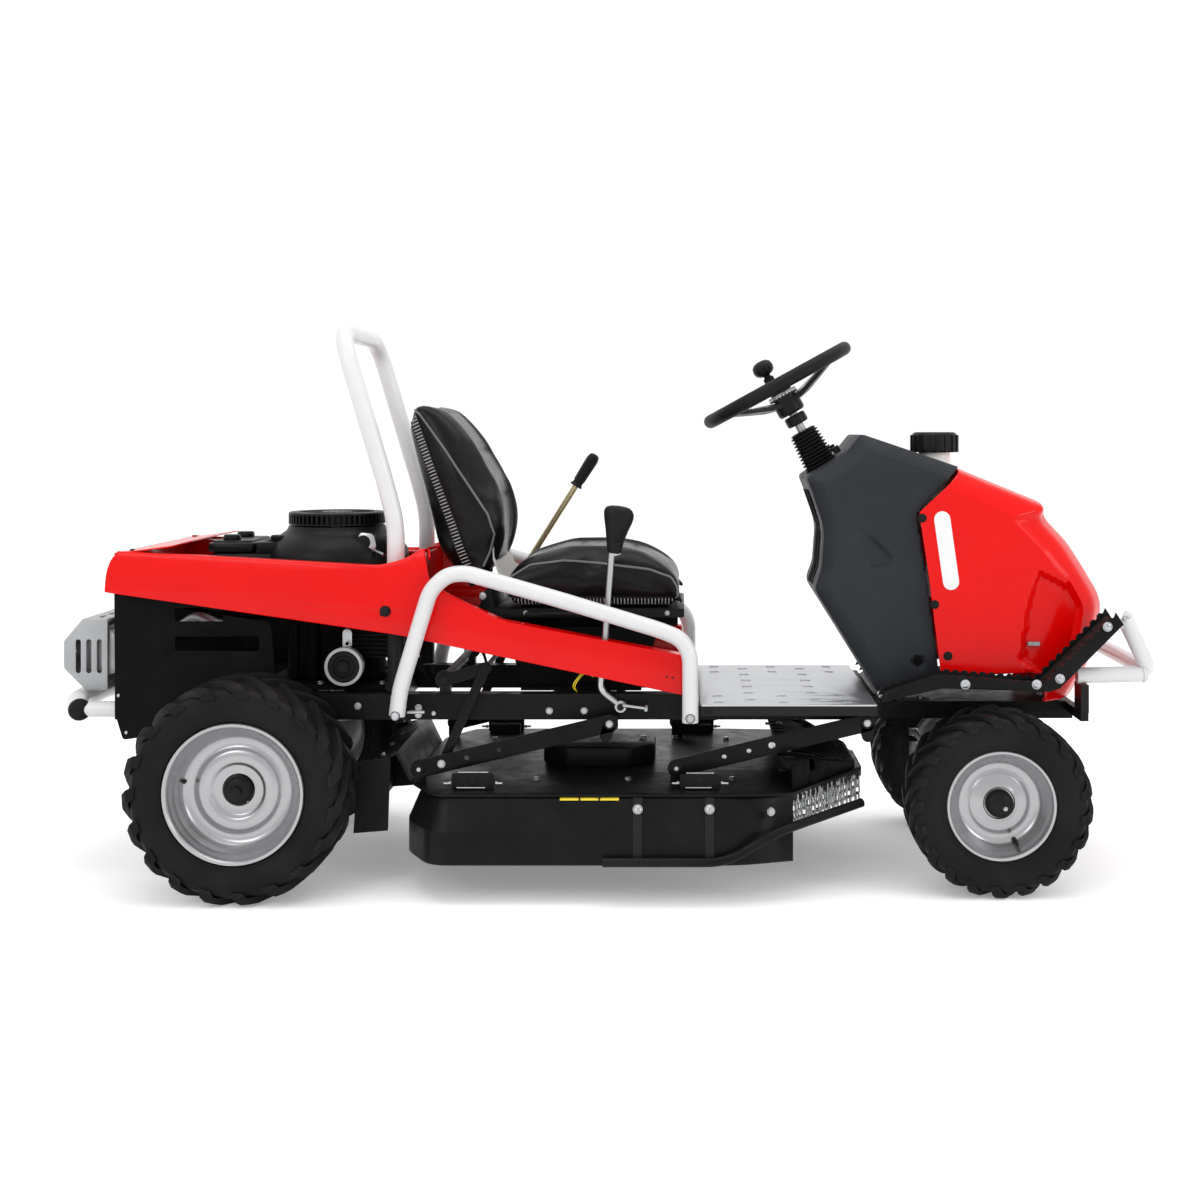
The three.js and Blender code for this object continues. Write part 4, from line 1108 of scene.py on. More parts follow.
def step_board(word, side):
    upper = (serrated((650, 442), (776, 484), 21, 6) + serrated((776, 484), (1007, 466.5), 21, 6)
             + serrated((1007, 466.5), (1166, 622), 21, 6))
    lower = [(1170, 625), (1188, 597), (1043, 452), (1020, 444), (778, 452), (640, 421)]
    outline = upper + lower
    sides = [plate(outline, on_side(side, 296.4, 300), edge=0.5),
             plate(outline, on_side(side, 200, 203.6), edge=0.5)]
    tread_line = [(652, 430), (776, 471), (1011, 453.5), (1170, 608)]
    rows = [[(x, side * 298, z), (x, side * 202, z)] for x, z in tread_line]
    tread = [thick(strip(rows), lambda p: Vector((1.2, 0, -2.6)))]
    rings, bolts = [], []
    for (a, b) in zip(tread_line, tread_line[1:]):
        a, b = Vector(a), Vector(b)
        run = b - a
        normal = Vector((-run.y, 0, run.x)).normalized()
        count = int(run.length / 30)
        for k in range(count):
            for j in range(3):
                t = (k + 0.5) / count
                y = side * (222 + 28 * j)
                place = Vector((a.x + run.x * t, y, a.y + run.y * t))
                rings.append(lathe([(3.2, -0.5), (7, -0.5), (6, 2.2), (3.6, 2.6), (3.2, -0.5)],
                                   place,
                                   normal, 14))
    for x, z in ((828, 461), (990, 461), (1043, 474), (1151, 592)):
        bolts += dome((x, side * 300, z), (0, side, 0), 9.4, 0.45)
        bolts.append(lathe([(0, -1), (11, -1), (11, 1), (0, 1)], (x, side * 300, z), (0, side, 0),
                           24))
    piece(f"step_board_{word}", "chassis",
          [(BLACK, sides + tread + rings), (STEEL, bolts)], (f"step_{word}",))


tail_shell()
guard()
hood()
dash()
footplate()
for word, side in SIDES:
    side_panel(word, side)
    step_board(word, side)


# ---------- seat ----------
CUSHION_SIDE = [(-241, 704), (-190, 727), (-98, 757), (41, 757), (157, 727), (194, 692), (203, 646),
                (199, 624), (-236, 624), (-248, 680)]
BACK_SIDE = [(-468, 1104), (-426, 1120), (-375, 1085), (-329, 1034), (-236, 877), (-220, 819),
             (-241, 773), (-262, 715), (-306, 652), (-375, 738)]


def shrunk(outline, amount):
    """The outline moved inwards by an amount, corner by corner."""
    count = len(outline)
    area = sum(a[0] * b[1] - b[0] * a[1] for a, b in zip(outline, outline[1:] + outline[:1]))
    turn = 1 if area > 0 else -1
    made = []
    for i in range(count):
        a, b, c = Vector(outline[i - 1]), Vector(outline[i]), Vector(outline[(i + 1) % count])
        run = (c - a).normalized()
        made.append(tuple(b + Vector((-run.y, run.x)) * turn * amount))
    return made


VOXEL = 0.006            # net of a cushion, in metres
FILL_PRESSURE = 4.0
FILL_FRAMES = 20
CALM_PASSES = 14         # smoothing after the fill, so that the vinyl lies without wrinkles


def swell(made, cap):
    """Remeshes a pad and lets it fill under pressure; no point moves further than the cap."""
    view = bpy.context.view_layer
    remesh = made.modifiers.new("net", "REMESH")
    remesh.mode = "VOXEL"
    remesh.voxel_size = VOXEL
    view.update()
    net = bpy.data.meshes.new_from_object(made.evaluated_get(bpy.context.evaluated_depsgraph_get()))
    made.modifiers.clear()
    for material in made.data.materials:
        if not net.materials:
            net.materials.append(material)
    made.data = net
    rest = [v.co.copy() for v in net.vertices]
    cloth = made.modifiers.new("fill", "CLOTH")
    cloth.settings.use_pressure = True
    cloth.settings.uniform_pressure_force = FILL_PRESSURE
    cloth.settings.effector_weights.gravity = 0
    cloth.settings.quality = 4
    cloth.collision_settings.use_collision = False
    scene = bpy.context.scene
    for step in range(FILL_FRAMES):
        scene.frame_set(step + 1)
    result = made.evaluated_get(bpy.context.evaluated_depsgraph_get()).to_mesh()
    places = [v.co.copy() for v in result.vertices]
    made.modifiers.clear()
    scene.frame_set(1)
    for vertex, start, end in zip(net.vertices, rest, places):
        move = end - start
        if move.length > cap:
            move = move.normalized() * cap
        vertex.co = start + move
    calm = bmesh.new()
    calm.from_mesh(net)
    for _ in range(CALM_PASSES):
        bmesh.ops.smooth_vert(calm, verts=calm.verts, factor=0.5, use_axis_x=True,
                              use_axis_y=True, use_axis_z=True)
    calm.to_mesh(net)
    calm.free()
    net.shade_smooth()
    return made


def pad(name, node, outline, half, corner, cap, shape_point):
    """A cushion from its side outline: filled, then pressed into channels by shape_point."""
    core = rounded(shrunk(rounded(outline, 20), cap * 0.5), 10, 2)
    rows = []
    reach = half - cap * 0.5
    for degrees in (0, 25, 50, 72, 90):
        a = math.radians(degrees)
        y = reach - corner + corner * math.cos(a)
        rows.append([(x, y, z) for x, z in shrunk(core, corner * (1 - math.sin(a)))])
    rows += [[(x, y, z) for x, z in core] for y in (reach * 0.4, -reach * 0.4)]
    rows += [[(x, -y, z) for x, y, z in row] for row in reversed(rows[:5])]
    points, faces = strip([row + [row[0]] for row in rows])
    width = len(rows[0]) + 1
    faces.append(tuple(range(width - 1))[::-1])
    faces.append(tuple((len(rows) - 1) * width + k for k in range(width - 1)))
    made = piece(name, "seat", [(VINYL, [(points, faces)])], (node,), sharp=180)
    swell(made, cap * MM)
    for vertex in made.data.vertices:
        vertex.co = shape_point(vertex.co / MM) * MM
    made.modifiers.new("smooth", "SUBSURF").levels = 1
    made.modifiers["smooth"].render_levels = 1
    return made


def skin_of(made):
    """Finds the place on a cushion's side: hit(x, z, side) gives the point and its normal."""
    mesh = made.data
    tree = BVHTree.FromPolygons([v.co / MM for v in mesh.vertices],
                                [tuple(p.vertices) for p in mesh.polygons])

    def hit(x, z, side):
        found = tree.ray_cast(Vector((x, side * 400, z)), Vector((0, -side, 0)))
        if found[0] is None:
            near = tree.find_nearest(Vector((x, side * 200, z)))
            return near[0], near[1]
        return found[0], found[1]
    return hit


def along(route, step):
    """Evenly spaced places along a route in X and Z."""
    route = [Vector(p) for p in route]
    made, left = [], 0.0
    for a, b in zip(route, route[1:]):
        length = (b - a).length
        t = left
        while t < length:
            made.append((a + (b - a) * t / length, (b - a).normalized()))
            t += step
        left = t - length
    return made


def trims(hit, piping, zipper, zip_width):
    """Piping and zips on both sides of a cushion, laid on its skin."""
    cords, ribs, tape = [], [], []
    for _, side in SIDES:
        path = [hit(p.x, p.y, side)[0] + Vector((0, side * 1.2, 0)) for p, _ in along(piping, 9)]
        cords.append(sweep(path, 2.8, 8))
        for place, run in along(zipper, 8):
            across = Vector((-run.y, 0, run.x))
            middle, _ = hit(place.x, place.y, side)
            one = hit(place.x + across.x * zip_width / 2, place.y + across.z * zip_width / 2,
                      side)[0]
            two = hit(place.x - across.x * zip_width / 2, place.y - across.z * zip_width / 2,
                      side)[0]
            lift = Vector((0, side * 1.0, 0))
            ribs.append(sweep([one + lift, middle + lift * 2, two + lift], 1.5, 6))
        for offset in (0.5, -0.5):
            line = []
            for place, run in along(zipper, 8):
                across = Vector((-run.y, run.x))
                p = place + across * zip_width * offset
                line.append(hit(p.x, p.y, side)[0] + Vector((0, side * 0.6, 0)))
            tape.append(sweep(line, 2.4, 8))
    return cords, ribs, tape


def seat():
    def cushion_form(p):
        top = smooth_step(690, 735, p.z)
        p = p.copy()
        p.z -= 9 * top * (1 - smooth_step(118, 150, abs(p.y)))
        p.z -= 4 * top * math.exp(-((abs(p.y) - 134) / 7) ** 2)
        for x in (-60, 70):
            p.z -= 3.5 * top * math.exp(-((p.x - x) / 6) ** 2) * (1 - smooth_step(118, 132,
                                                                                  abs(p.y)))
        p.z = max(p.z, 623.5)
        p.y = max(-228, min(228, p.y))
        return p

    run = Vector((-0.5, 0, 0.866))

    def back_form(p):
        p = p.copy()
        face = smooth_step(-20, 24, (p.x + 329) * 0.86 + (p.z - 905) * 0.5 + 18)
        inner = 1 - smooth_step(108, 140, abs(p.y))
        p.x -= 14 * face * inner
        p.x -= 4 * face * math.exp(-((abs(p.y) - 124) / 7) ** 2)
        height = (p - Vector((-262, 0, 715))).dot(run)
        for place in (140, 260):
            p.x -= 4 * face * inner * math.exp(-((height - place) / 7) ** 2)
        # the top is narrower than the middle
        p.y *= 1 - 0.10 * smooth_step(930, 1115, p.z) - 0.05 * smooth_step(760, 660, p.z)
        return p

    low = pad("seat_cushion_vinyl", "seat_cushion", CUSHION_SIDE, 226, 26, 22, cushion_form)
    high = pad("seat_back_vinyl", "seat_back", BACK_SIDE, 212, 28, 22, back_form)
    cords, ribs, tape = trims(
        skin_of(low),
        [(-226, 690), (-170, 724), (-90, 735), (10, 727), (110, 714), (160, 696), (174, 672),
         (175, 644)],
        [(-222, 640), (176, 639)], 18)
    piece("seat_cushion_trim", "seat",
          [(PIPING, cords), (ZIP, ribs), (VINYL, tape)])
    cords, ribs, tape = trims(
        skin_of(high),
        [(-446, 1086), (-432, 1076), (-368, 992), (-308, 903), (-268, 843), (-254, 796),
         (-266, 752),
         (-284, 712)],
        [(-452, 1076), (-318, 724)], 22)
    piece("seat_back_trim", "seat", [(PIPING, cords), (ZIP, ribs), (VINYL, tape)])

    rows = [[(x, -176, z), (x, -90, z - 3), (x, 0, z - 4), (x, 90, z - 3), (x, 176, z)]
            for x, z in ((-250, 806), (-257, 770), (-256, 738), (-244, 706), (-226, 684),
                         (-196, 676))]
    lining = thick(strip(rows), lambda p: Vector((-3, 0, -3)))
    pan = [(-300, 600.5), (190, 600.5), (190, 622), (-252, 622), (-262, 664), (-278, 664),
           (-285, 640)]
    shell = [plate(rounded(pan, 5), (-190, 190), edge=2.5)]
    hinge = []
    for _, side in SIDES:
        hinge.append(cylinder((-281, side * 168, 650), (-281, side * 196, 650), 9, 20, 1.5))
        hinge += bolt((-281, side * 196, 650), (0, side, 0), 7)
        hinge += bolt((-180, side * 190, 611), (0, side, 0), 6) + bolt((150, side * 190, 611),
                                                                      (0, side, 0), 6)
    piece("seat_pan_sheet", "seat", [(BLACK, shell), (STEEL, hinge)], ("seat_pan",))
    piece("seat_lining", "seat", [(LINING, [lining])])

    lever = [sweep(round_path([(-60, -205, 610), (-140, -205, 611), (-178, -205, 609)], 12, 4), 5,
                   12),
             plate(oval(-160, 610, 44, 12), (-212, -199), edge=2.5)]
    piece("seat_slide_lever", "seat_lever", [(PLASTIC_BLACK, lever)],
          ("seat_lever",))


# ---------- steering ----------
def down_column(distance):
    """A point on the steering column, below the middle of the wheel."""
    return RIM_CENTRE - COLUMN * distance


def steering():
    ahead = Vector((COLUMN.z, 0, -COLUMN.x))
    ring = []
    for k in range(17):
        a = 2 * math.pi * (k % 16) / 16
        ring.append((186 + 16.5 * math.cos(a), 16.5 * math.sin(a)))
    rim = [lathe(ring, RIM_CENTRE, COLUMN, 96)]
    black, silver = [], []
    for degrees in (90, 210, 330):
        a = math.radians(degrees)
        out = ahead * math.cos(a) + Vector((0, math.sin(a), 0))
        side = COLUMN.cross(out)
        arm = []
        for r, drop, wide, deep in ((16, 50, 20, 8), (60, 42, 17, 7), (110, 25, 14, 6),
                                    (150, 10, 12, 6),
                                    (178, 2, 11, 6)):
            centre = RIM_CENTRE - COLUMN * drop + out * r
            arm.append([centre + side * wide - COLUMN * deep,
                        centre + side * wide + COLUMN * deep * 0.5,
                        centre + side * wide * 0.7 + COLUMN * deep,
                        centre - side * wide * 0.7 + COLUMN * deep,
                        centre - side * wide + COLUMN * deep * 0.5,
                        centre - side * wide - COLUMN * deep,
                        centre + side * wide - COLUMN * deep])
        points, faces = strip(arm)
        faces += [(5, 4, 3, 2, 1, 0), tuple(28 + k for k in range(6))]
        black.append((points, faces))
        plate_points = []
        for r, drop, wide in ((34, 38.5, 9), (100, 21, 7.5), (150, 3.4, 6)):
            centre = RIM_CENTRE - COLUMN * drop + out * r
            plate_points.append([centre - side * wide, centre + side * wide])
        silver.append(thick(strip(plate_points), lambda p: COLUMN * 1.8))
    black.append(lathe([(0, -79), (30, -79), (34, -74), (34, -46), (38, -40), (38, -32), (34, -28),
                        (0, -28)], RIM_CENTRE, COLUMN, 40))
    notched = []
    for k in range(24):
        a = 2 * math.pi * k / 24
        for r, w in ((33.5, -0.4), (36.5, -0.2), (36.5, 0.2), (33.5, 0.4)):
            notched.append((r, a + w * 2 * math.pi / 24))
    outline = [(r * math.cos(a), r * math.sin(a)) for r, a in notched]
    turn = Matrix((ahead, Vector(ACROSS), COLUMN)).transposed().to_4x4()
    turn.translation = down_column(28)
    silver.append(moved(plate(outline, (-2, 6), "XY", edge=0.5), turn))
    cap = [lathe([(0, 4), (28, 4), (27, 12), (20, 17), (0, 19)], down_column(28), COLUMN, 40)]
    shaft = [cylinder(down_column(70), down_column(700), 11, 20)]
    clamp = lathe([(24, 0), (27, -3), (27, -22), (24, -25), (24, 0)], down_column(84), COLUMN, 24)
    piece("steering_wheel_rim", "steering_wheel",
          [(RUBBER, rim), (PLASTIC_BLACK, black + cap + [clamp]), (STEEL, silver),
           (DULL_STEEL, shaft)],
          ("steering_wheel",), sharp=35)

    foot = RIM_CENTRE + Vector((0, 186, 0))
    knob = [lathe([(0, 16), (14, 16), (14, 26), (9, 29), (9, 33), (18, 36), (25, 42), (27.5, 52),
                   (25, 64), (17, 71), (7, 73.6), (0, 73.8)], foot, COLUMN, 40)]
    piece("spinner_knob_grip", "spinner_knob", [(PLASTIC_BLACK, knob)],
          ("spinner_knob",))
    profile = [(13, 0), (28, 0), (34, 4)]
    folds = 10
    for k in range(folds):
        start = 6 + 8.8 * k
        size = 36 + 7 * k / folds
        profile += [(size - 7, start), (size, start + 3), (size, start + 5), (size - 7, start + 8)]
    profile += [(44, 95), (13, 95), (13, 0)]
    piece("steering_bellows", "chassis",
          [(RUBBER, [lathe(profile, down_column(128), -COLUMN, 48)])], ("steering_boot",), sharp=60)


# ---------- levers and lift ----------
def levers():
    y = -270
    rod_path = round_path([(34.7, y, 413.5), (-3, y, 444), (8, y, 558), (24, y, 764), (34, y, 800)],
                          16, 6)
    rod = [sweep(rod_path, 7.8, 20)]
    boss = [cylinder((44, y - 7, 406), (44, y + 7, 406), 14.5, 28, 1.5),
            cylinder((44, y - 12, 406), (44, y + 12, 406), 8, 20, 1)]
    knob_points = []
    centre = Vector((29, y, 757))
    up = Vector((0.12, 0, 1)).normalized()
    across = Vector((1, 0, -0.12)).normalized()
    sections = ((0, 13, 13, 0), (4, 16, 15, 0), (28, 20.5, 18, -1), (52, 26, 22, 0),
                (72, 32, 25, 1),
                (84, 34.5, 26.5, 1), (93, 34.5, 26.5, 0), (100, 32, 24.5, -1), (105, 27, 20, -2),
                (108, 18, 13, -2), (109, 6, 5, -2))
    for height, wide, deep, lean in sections:
        row = []
        for k in range(28):
            a = 2 * math.pi * k / 28
            shape = abs(math.cos(a)) ** 0.9 * (1 if math.cos(a) > 0 else -1)
            row.append(centre + up * height + across * (shape * wide + lean)
                       + Vector((0, math.sin(a) * deep, 0)))
        knob_points.append(row + [row[0]])
    points, faces = strip(knob_points)
    faces += [tuple(range(28))[::-1], tuple((len(sections) - 1) * 29 + k for k in range(28))]
    knob = [(points, faces)]
    for k in range(8):
        place = centre + up * (28 + 7.2 * k) + across * 6
        half = 17 + k * 0.9
        for side in (-1, 1):
            deep = 19.2 + 0.62 * k
            curve = [place + across * (half * 0.8 * t)
                     + Vector((0, side * deep * math.sqrt(1 - 0.5 * t * t), 0))
                     for t in (-0.9, -0.5, 0, 0.5, 0.9)]
            knob.append(sweep(curve, 1.3, 6))
    nut = [cylinder((33, y, 752), (31.5, y, 760), 12, 6)]
    piece("drive_lever_rod", "drive_lever",
          [(STEEL, rod + boss + nut), (RUBBER, knob)], ("drive_lever",), sharp=40)
    pins = [cylinder((49, -286, 411), (104, -286, 404), 4.4, 16, 0.8),
            cylinder((100, -286, 404.5), (106, -286, 403.6), 8, 6)]
    piece("drive_lever_stop", "chassis", [(STEEL, pins)])

    y = 268
    start, tip = Vector((LIFT_SHAFT[0], y, LIFT_SHAFT[1])), Vector((-41, y, 974))
    run = (tip - start).normalized()
    yellow = [cylinder(start + run * 12, tip - run * 40, 8, 20)]
    shaft = [cylinder((LIFT_SHAFT[0], -277, LIFT_SHAFT[1]), (LIFT_SHAFT[0], 277, LIFT_SHAFT[1]), 12,
                      24, 1)]
    for _, side in SIDES:
        shaft.append(bar(LIFT_SHAFT, LIFT_CRANK, 14, on_side(side, 269, 275)))
    grip_foot = tip - run * 92
    grip = [lathe([(0, -4), (16.5, -4), (17, -1), (14, 2), (13, 6), (15, 60), (15, 82), (12, 90),
                   (6, 93),
                   (0, 93.5)], grip_foot, run, 28)]
    side_of = run.cross(Vector(ACROSS))
    for k in range(6):
        a = 2 * math.pi * k / 6
        out = side_of * math.cos(a) + Vector(ACROSS) * math.sin(a)
        grip.append(sweep([grip_foot + run * 12 + out * 13.4, grip_foot + run * 60 + out * 14.6,
                           grip_foot + run * 78 + out * 14.6], 1.2, 6))
    piece("lift_lever_rod", "lift_lever", [(ZINC, yellow), (BLACK, shaft),
                                                         (RUBBER, grip)],
          ("lift_lever",))
    links, pins = [], []
    for _, side in SIDES:
        links.append(bar(LIFT_CRANK, LIFT_FOOT, 11, on_side(side, 277, 282)))
    pins.append(cylinder((LIFT_CRANK[0], -278, LIFT_CRANK[1]), (LIFT_CRANK[0], 278, LIFT_CRANK[1]),
                         6,
                         18, 0.6))
    piece("lift_link_bars", "lift_links", [(BLACK, links), (DULL_STEEL, pins)],
          ("lift_links",))


def lift_arms(name, node, body, pivot, tube_at, rear):
    end = (pivot[0] + ARM_VECTOR[0], pivot[1] + ARM_VECTOR[1])
    black, bolts, rubber = [], [], []
    black.append(cylinder((tube_at[0], -306, tube_at[1]), (tube_at[0], 306, tube_at[1]), 12, 24))
    for _, side in SIDES:
        depth = on_side(side, 300.4, 307.8)
        spots = ((0.25, 10), (0.42, 10)) if rear else ((0.62, 6), (0.75, 6), (0.5, 9))
        holes = []
        if rear:
            holes = [oval(end[0] + (pivot[0] - end[0]) * s, end[1] + (pivot[1] - end[1]) * s, 12,
                          12,
                          0.23, 3) for s, _ in spots]
        black.append(bar(pivot, end, 20, depth, holes))
        black.append(bar(pivot, tube_at, 14, depth))
        for place in (pivot, end):
            rubber.append(lathe([(6, -1), (13, -1), (13, 3), (11, 4.5), (6, 4.5), (6, -1)],
                                (place[0], side * 308, place[1]), (0, side, 0), 28))
            bolts.append(cylinder((place[0], side * 307, place[1]),
                                  (place[0], side * 312.2, place[1]),
                                  5.6, 6, 0.6))
        if rear:
            bolts += bolt((LIFT_FOOT[0], side * 307.8, LIFT_FOOT[1]), (0, side, 0), 9)
            black.append(cylinder((LIFT_FOOT[0], side * 283, LIFT_FOOT[1]),
                                  (LIFT_FOOT[0], side * 301, LIFT_FOOT[1]), 6, 16))
        else:
            for s, size in spots:
                place = (end[0] + (pivot[0] - end[0]) * (1 - s),
                         end[1] + (pivot[1] - end[1]) * (1 - s))
                bolts += dome((place[0], side * 307.8, place[1]), (0, side, 0), size)
    piece(name, body, [(BLACK, black), (RUBBER, rubber), (STEEL, bolts)], (node,))


seat()
steering()
levers()
lift_arms("rear_lift_arm_bars", "rear_lift_arms", "rear_lift_arms", ARM_REAR, (12, 345), True)
lift_arms("front_lift_arm_bars", "front_lift_arms", "front_lift_arms", ARM_FRONT, (606, 345), False)


# ---------- engine ----------
def ring_of(count, make):
    """Copies made all round a circle; make takes the angle."""
    return [make(2 * math.pi * k / count) for k in range(count)]


def engine():
    axis = Vector((CRANK_X, 0, 0))
    cover = [lathe([(60, 600), (166, 600), (172, 606), (174, 660), (174, 735), (170, 752),
                    (156, 770),
                    (134, 786), (120, 796), (116, 806), (100, 806), (100, 790), (60, 700),
                    (60, 600)],
                   axis, UP, 72)]
    cover.append(plate(rounded([(-944, -104), (-770, -104), (-770, 104), (-944, 104)], 22),
                       (640, 745),
                       "XY", edge=7))
    cover.append(plate(rounded([(-835, -110), (-722, -84), (-722, 84), (-835, 110)], 16),
                       (744, 771),
                       "XY", edge=5))
    # a swept hump from the air cleaner up to the screen
    for _, side in SIDES:
        rows = []
        for x, z, wide in ((-850, 764, 6), (-810, 776, 12), (-770, 790, 14), (-735, 800, 12),
                           (-700, 805, 6)):
            rows.append([(x, side * (62 - wide), z - 22), (x, side * (62 - wide * 0.7), z - 3),
                         (x, side * 62, z), (x, side * (62 + wide * 0.7), z - 3),
                         (x, side * (62 + wide), z - 22)])
        cover.append(strip(rows))
    for k in range(5):
        z = 640 + 14 * k
        cover.append(lathe([(171, z), (175.4, z + 1.5), (175.4, z + 5), (171, z + 6.5)], axis, UP,
                           72))
    marks, metal = [], []
    for _, side in SIDES:
        marks.append(block((-700, -640), on_side(side, 172.6, 174.6), (722, 729)))
    metal += bolt((-566, -112, 778), (0, -1, 0), 8)
    metal.append(plate(rounded([(-596, 742), (-556, 742), (-540, 760), (-548, 792), (-580, 796)],
                               9),
                       (-128, -124), edge=0.8))
    metal.append(cylinder((-545, -126, 752), (-520, -150, 744), 4, 14, 0.8))
    dark = [block((-596, -548), (-124, -96), (744, 790)),
            cylinder((-572, -130, 772), (-572, -96, 772), 17, 28, 2)]
    piece("blower_housing", "chassis",
          [(PLASTIC_BLACK, cover + dark), (GREY, marks), (STEEL, metal)], ("blower_cover",),
          sharp=36)

    lid = [plate(rounded([(-949, -112), (-837, -112), (-837, 112), (-949, 112)], 20), (747.3, 770),
                 "XY",
                 edge=6)]
    lid.append(plate(rounded([(-940, -100), (-846, -100), (-846, 100), (-940, 100)], 18),
                     (765, 774), "XY",
                     edge=2))
    for y in (-64, 64):
        lid.append(lathe([(0, 770), (18, 770), (21, 774), (21, 783), (18, 787), (0, 788)],
                         (-900, y, 0), UP, 10))
    piece("air_cleaner_lid", "chassis", [(PLASTIC_BLACK, lid)],
          ("air_filter_cover",))
    knob = [lathe([(0, 770), (18, 770), (21, 774), (21, 783), (18, 786), (0, 787)],
                  (-786, y, 0), UP, 10) for y in (-64, 64)]
    piece("air_cleaner_knobs", "chassis", [(PLASTIC_BLACK, knob)])

    screen = [lathe([(0, 812), (105, 812), (105, 832), (116, 834), (116, 838), (112, 840),
                     (92, 840),
                     (88, 836), (40, 838), (36, 840), (0, 840)], axis, UP, 72),
              lathe([(100, 810), (116, 810), (116, 813), (100, 813), (100, 810)], axis, UP, 72)]

    def tooth(a):
        turn = Matrix.Translation(axis) @ Matrix.Rotation(a, 4, "Z")
        return moved(block((103, 116), (-2.4, 2.4), (811, 835)), turn)

    def rib(a):
        turn = Matrix.Translation(axis) @ Matrix.Rotation(a, 4, "Z")
        return moved(block((42, 90), (-1.2, 1.2), (834, 839.4)), turn)
    screen += ring_of(56, tooth) + ring_of(32, rib)
    shaft = [cylinder((CRANK_X, 0, 330), (CRANK_X, 0, 812), 15, 24),
             lathe([(15, 336), (62, 336), (62, 340), (50, 350), (62, 360), (62, 364), (15, 364),
                    (15, 336)],
                   axis, UP, 48)]
    piece("cooling_screen", "engine_crank",
          [(PLASTIC_BLACK, screen), (DULL_STEEL, shaft)], ("engine_crank",), sharp=36)

    case = [lathe([(17, 440), (112, 440), (118, 446), (118, 590), (110, 599.4), (17, 599.4),
                   (17, 440)],
                  axis, UP, 48),
            block((-800, -505), (-205, 205), (433.8, 446))]
    fins, pipes, bright = [], [], []
    for _, side in SIDES:
        case.append(block((-590, -500), on_side(side, 44, 146), (506, 590)))
        for k in range(9):
            z = 502 + 10.4 * k
            fins.append(plate(rounded([(-604, side * 40), (-497, side * 40), (-497, side * 151),
                                       (-604, side * 151)][::side], 8), (z, z + 3), "XY", edge=0.5))
        case.append(block((-860, -700), on_side(side, 60, 128), (522, 588)))
        route = round_path([(-850, side * 95, 560), (-930, side * 95, 572), (-985, side * 60, 590),
                            (-1030, side * 30, 560), (-1138, side * 20, 520)], 44, 6)
        pipes.append(sweep(route, 15, 18))
        for x in (-735, -690, -545):
            case.append(cylinder((x, side * 128, 450), (x, side * 128, 585), 13, 16, 1))
        for x in (-790, -660, -515):
            bright += bolt((x, side * 190, 446), UP, 8)
        bright.append(plate(oval(-596, 551, 50, 22, math.pi / 2), on_side(side, 196, 199),
                            "XZ", [oval(-596, 540, 8, 8)], edge=0.6))
        case.append(cylinder((-500, side * 110, 556), (-470, side * 110, 568), 12, 16, 1))
        case.append(sweep(round_path([(-468, side * 110, 568), (-440, side * 120, 585),
                                      (-452, side * 150, 520), (-500, side * 170, 470)], 30, 5), 4,
                          10))
    wires = []
    for k, (lift, y) in enumerate(((0, -212), (14, -206), (-12, -218))):
        wires.append(sweep(round_path([(-505, y, 470 + lift), (-440, y - 8, 520 + lift),
                                       (-408, y, 468),
                                       (-380, y + 4, 440)], 40, 6), 3.4, 8))
        wires.append(sweep(round_path([(-300 + 9 * k, y - 10, 436), (-312, y - 16, 500 + lift),
                                       (-280, y - 12, 540), (-262, y, 470)], 40, 6), 2.6, 8))
    for x in (-455, -395):
        wires.append(lathe([(8, 0), (14, 0), (14, 5), (8, 5), (8, 0)], (x, -214, 478), (1, 0, 0.3),
                           14))
    piece("engine_case", "chassis",
          [(BLACK_MATT, case + wires), (BLACK, fins), (DULL_STEEL, pipes), (STEEL, bright)],
          ("engine_block",))
    loops = [sweep(round_path([(-58, -236, 434), (-64 - 5 * k, -262, 452), (-40, -262, 484 + 5 * k),
                               (-20, -240, 470)], 20, 6), 1.3, 8) for k in range(2)]
    piece("held_wires", "chassis", [(YELLOW, loops)])

    rings = [lathe([(0, -236), (14, -238), (16, -234), (24, -234), (26, -237), (34, -237),
                    (36, -232),
                    (37, -160), (34, -153), (0, -152)], (-597, 0, 492), ACROSS, 40)]
    light = [lathe([(37, -238), (44, -238), (44, -214), (37, -214), (37, -238)], (-597, 0, 492),
                   ACROSS, 40)]
    piece("oil_filter_can", "chassis", [(BLACK, rings), (GREY, light)],
          ("oil_filter",))


def fuel():
    at = Vector((803, 0, 0))
    cap = [lathe([(0, 984.6), (53, 984.6), (56, 988), (56, 1024), (52, 1031), (46, 1034),
                  (42, 1031),
                  (0, 1031)], at, UP, 48)]

    def grip(a):
        turn = Matrix.Translation(at) @ Matrix.Rotation(a, 4, "Z")
        return moved(block((53, 59), (-4.6, 4.6), (985, 1027)), turn)
    cap += ring_of(16, grip)
    piece("fuel_cap_grip", "fuel_cap", [(PLASTIC_BLACK, cap)], ("fuel_cap",),
          bevel=0.8)
    tank = [plate(rounded([(800, -140), (1000, -140), (1000, 140), (800, 140)], 24), (620, 800),
                  "XY",
                  edge=12),
            lathe([(30, 796), (38, 796), (38, 940), (42, 944), (42, 950), (38, 954), (38, 984),
                   (30, 984),
                   (30, 796)], at, UP, 40)]
    piece("fuel_tank_body", "chassis", [(MILKY, tank)], ("fuel_tank",))


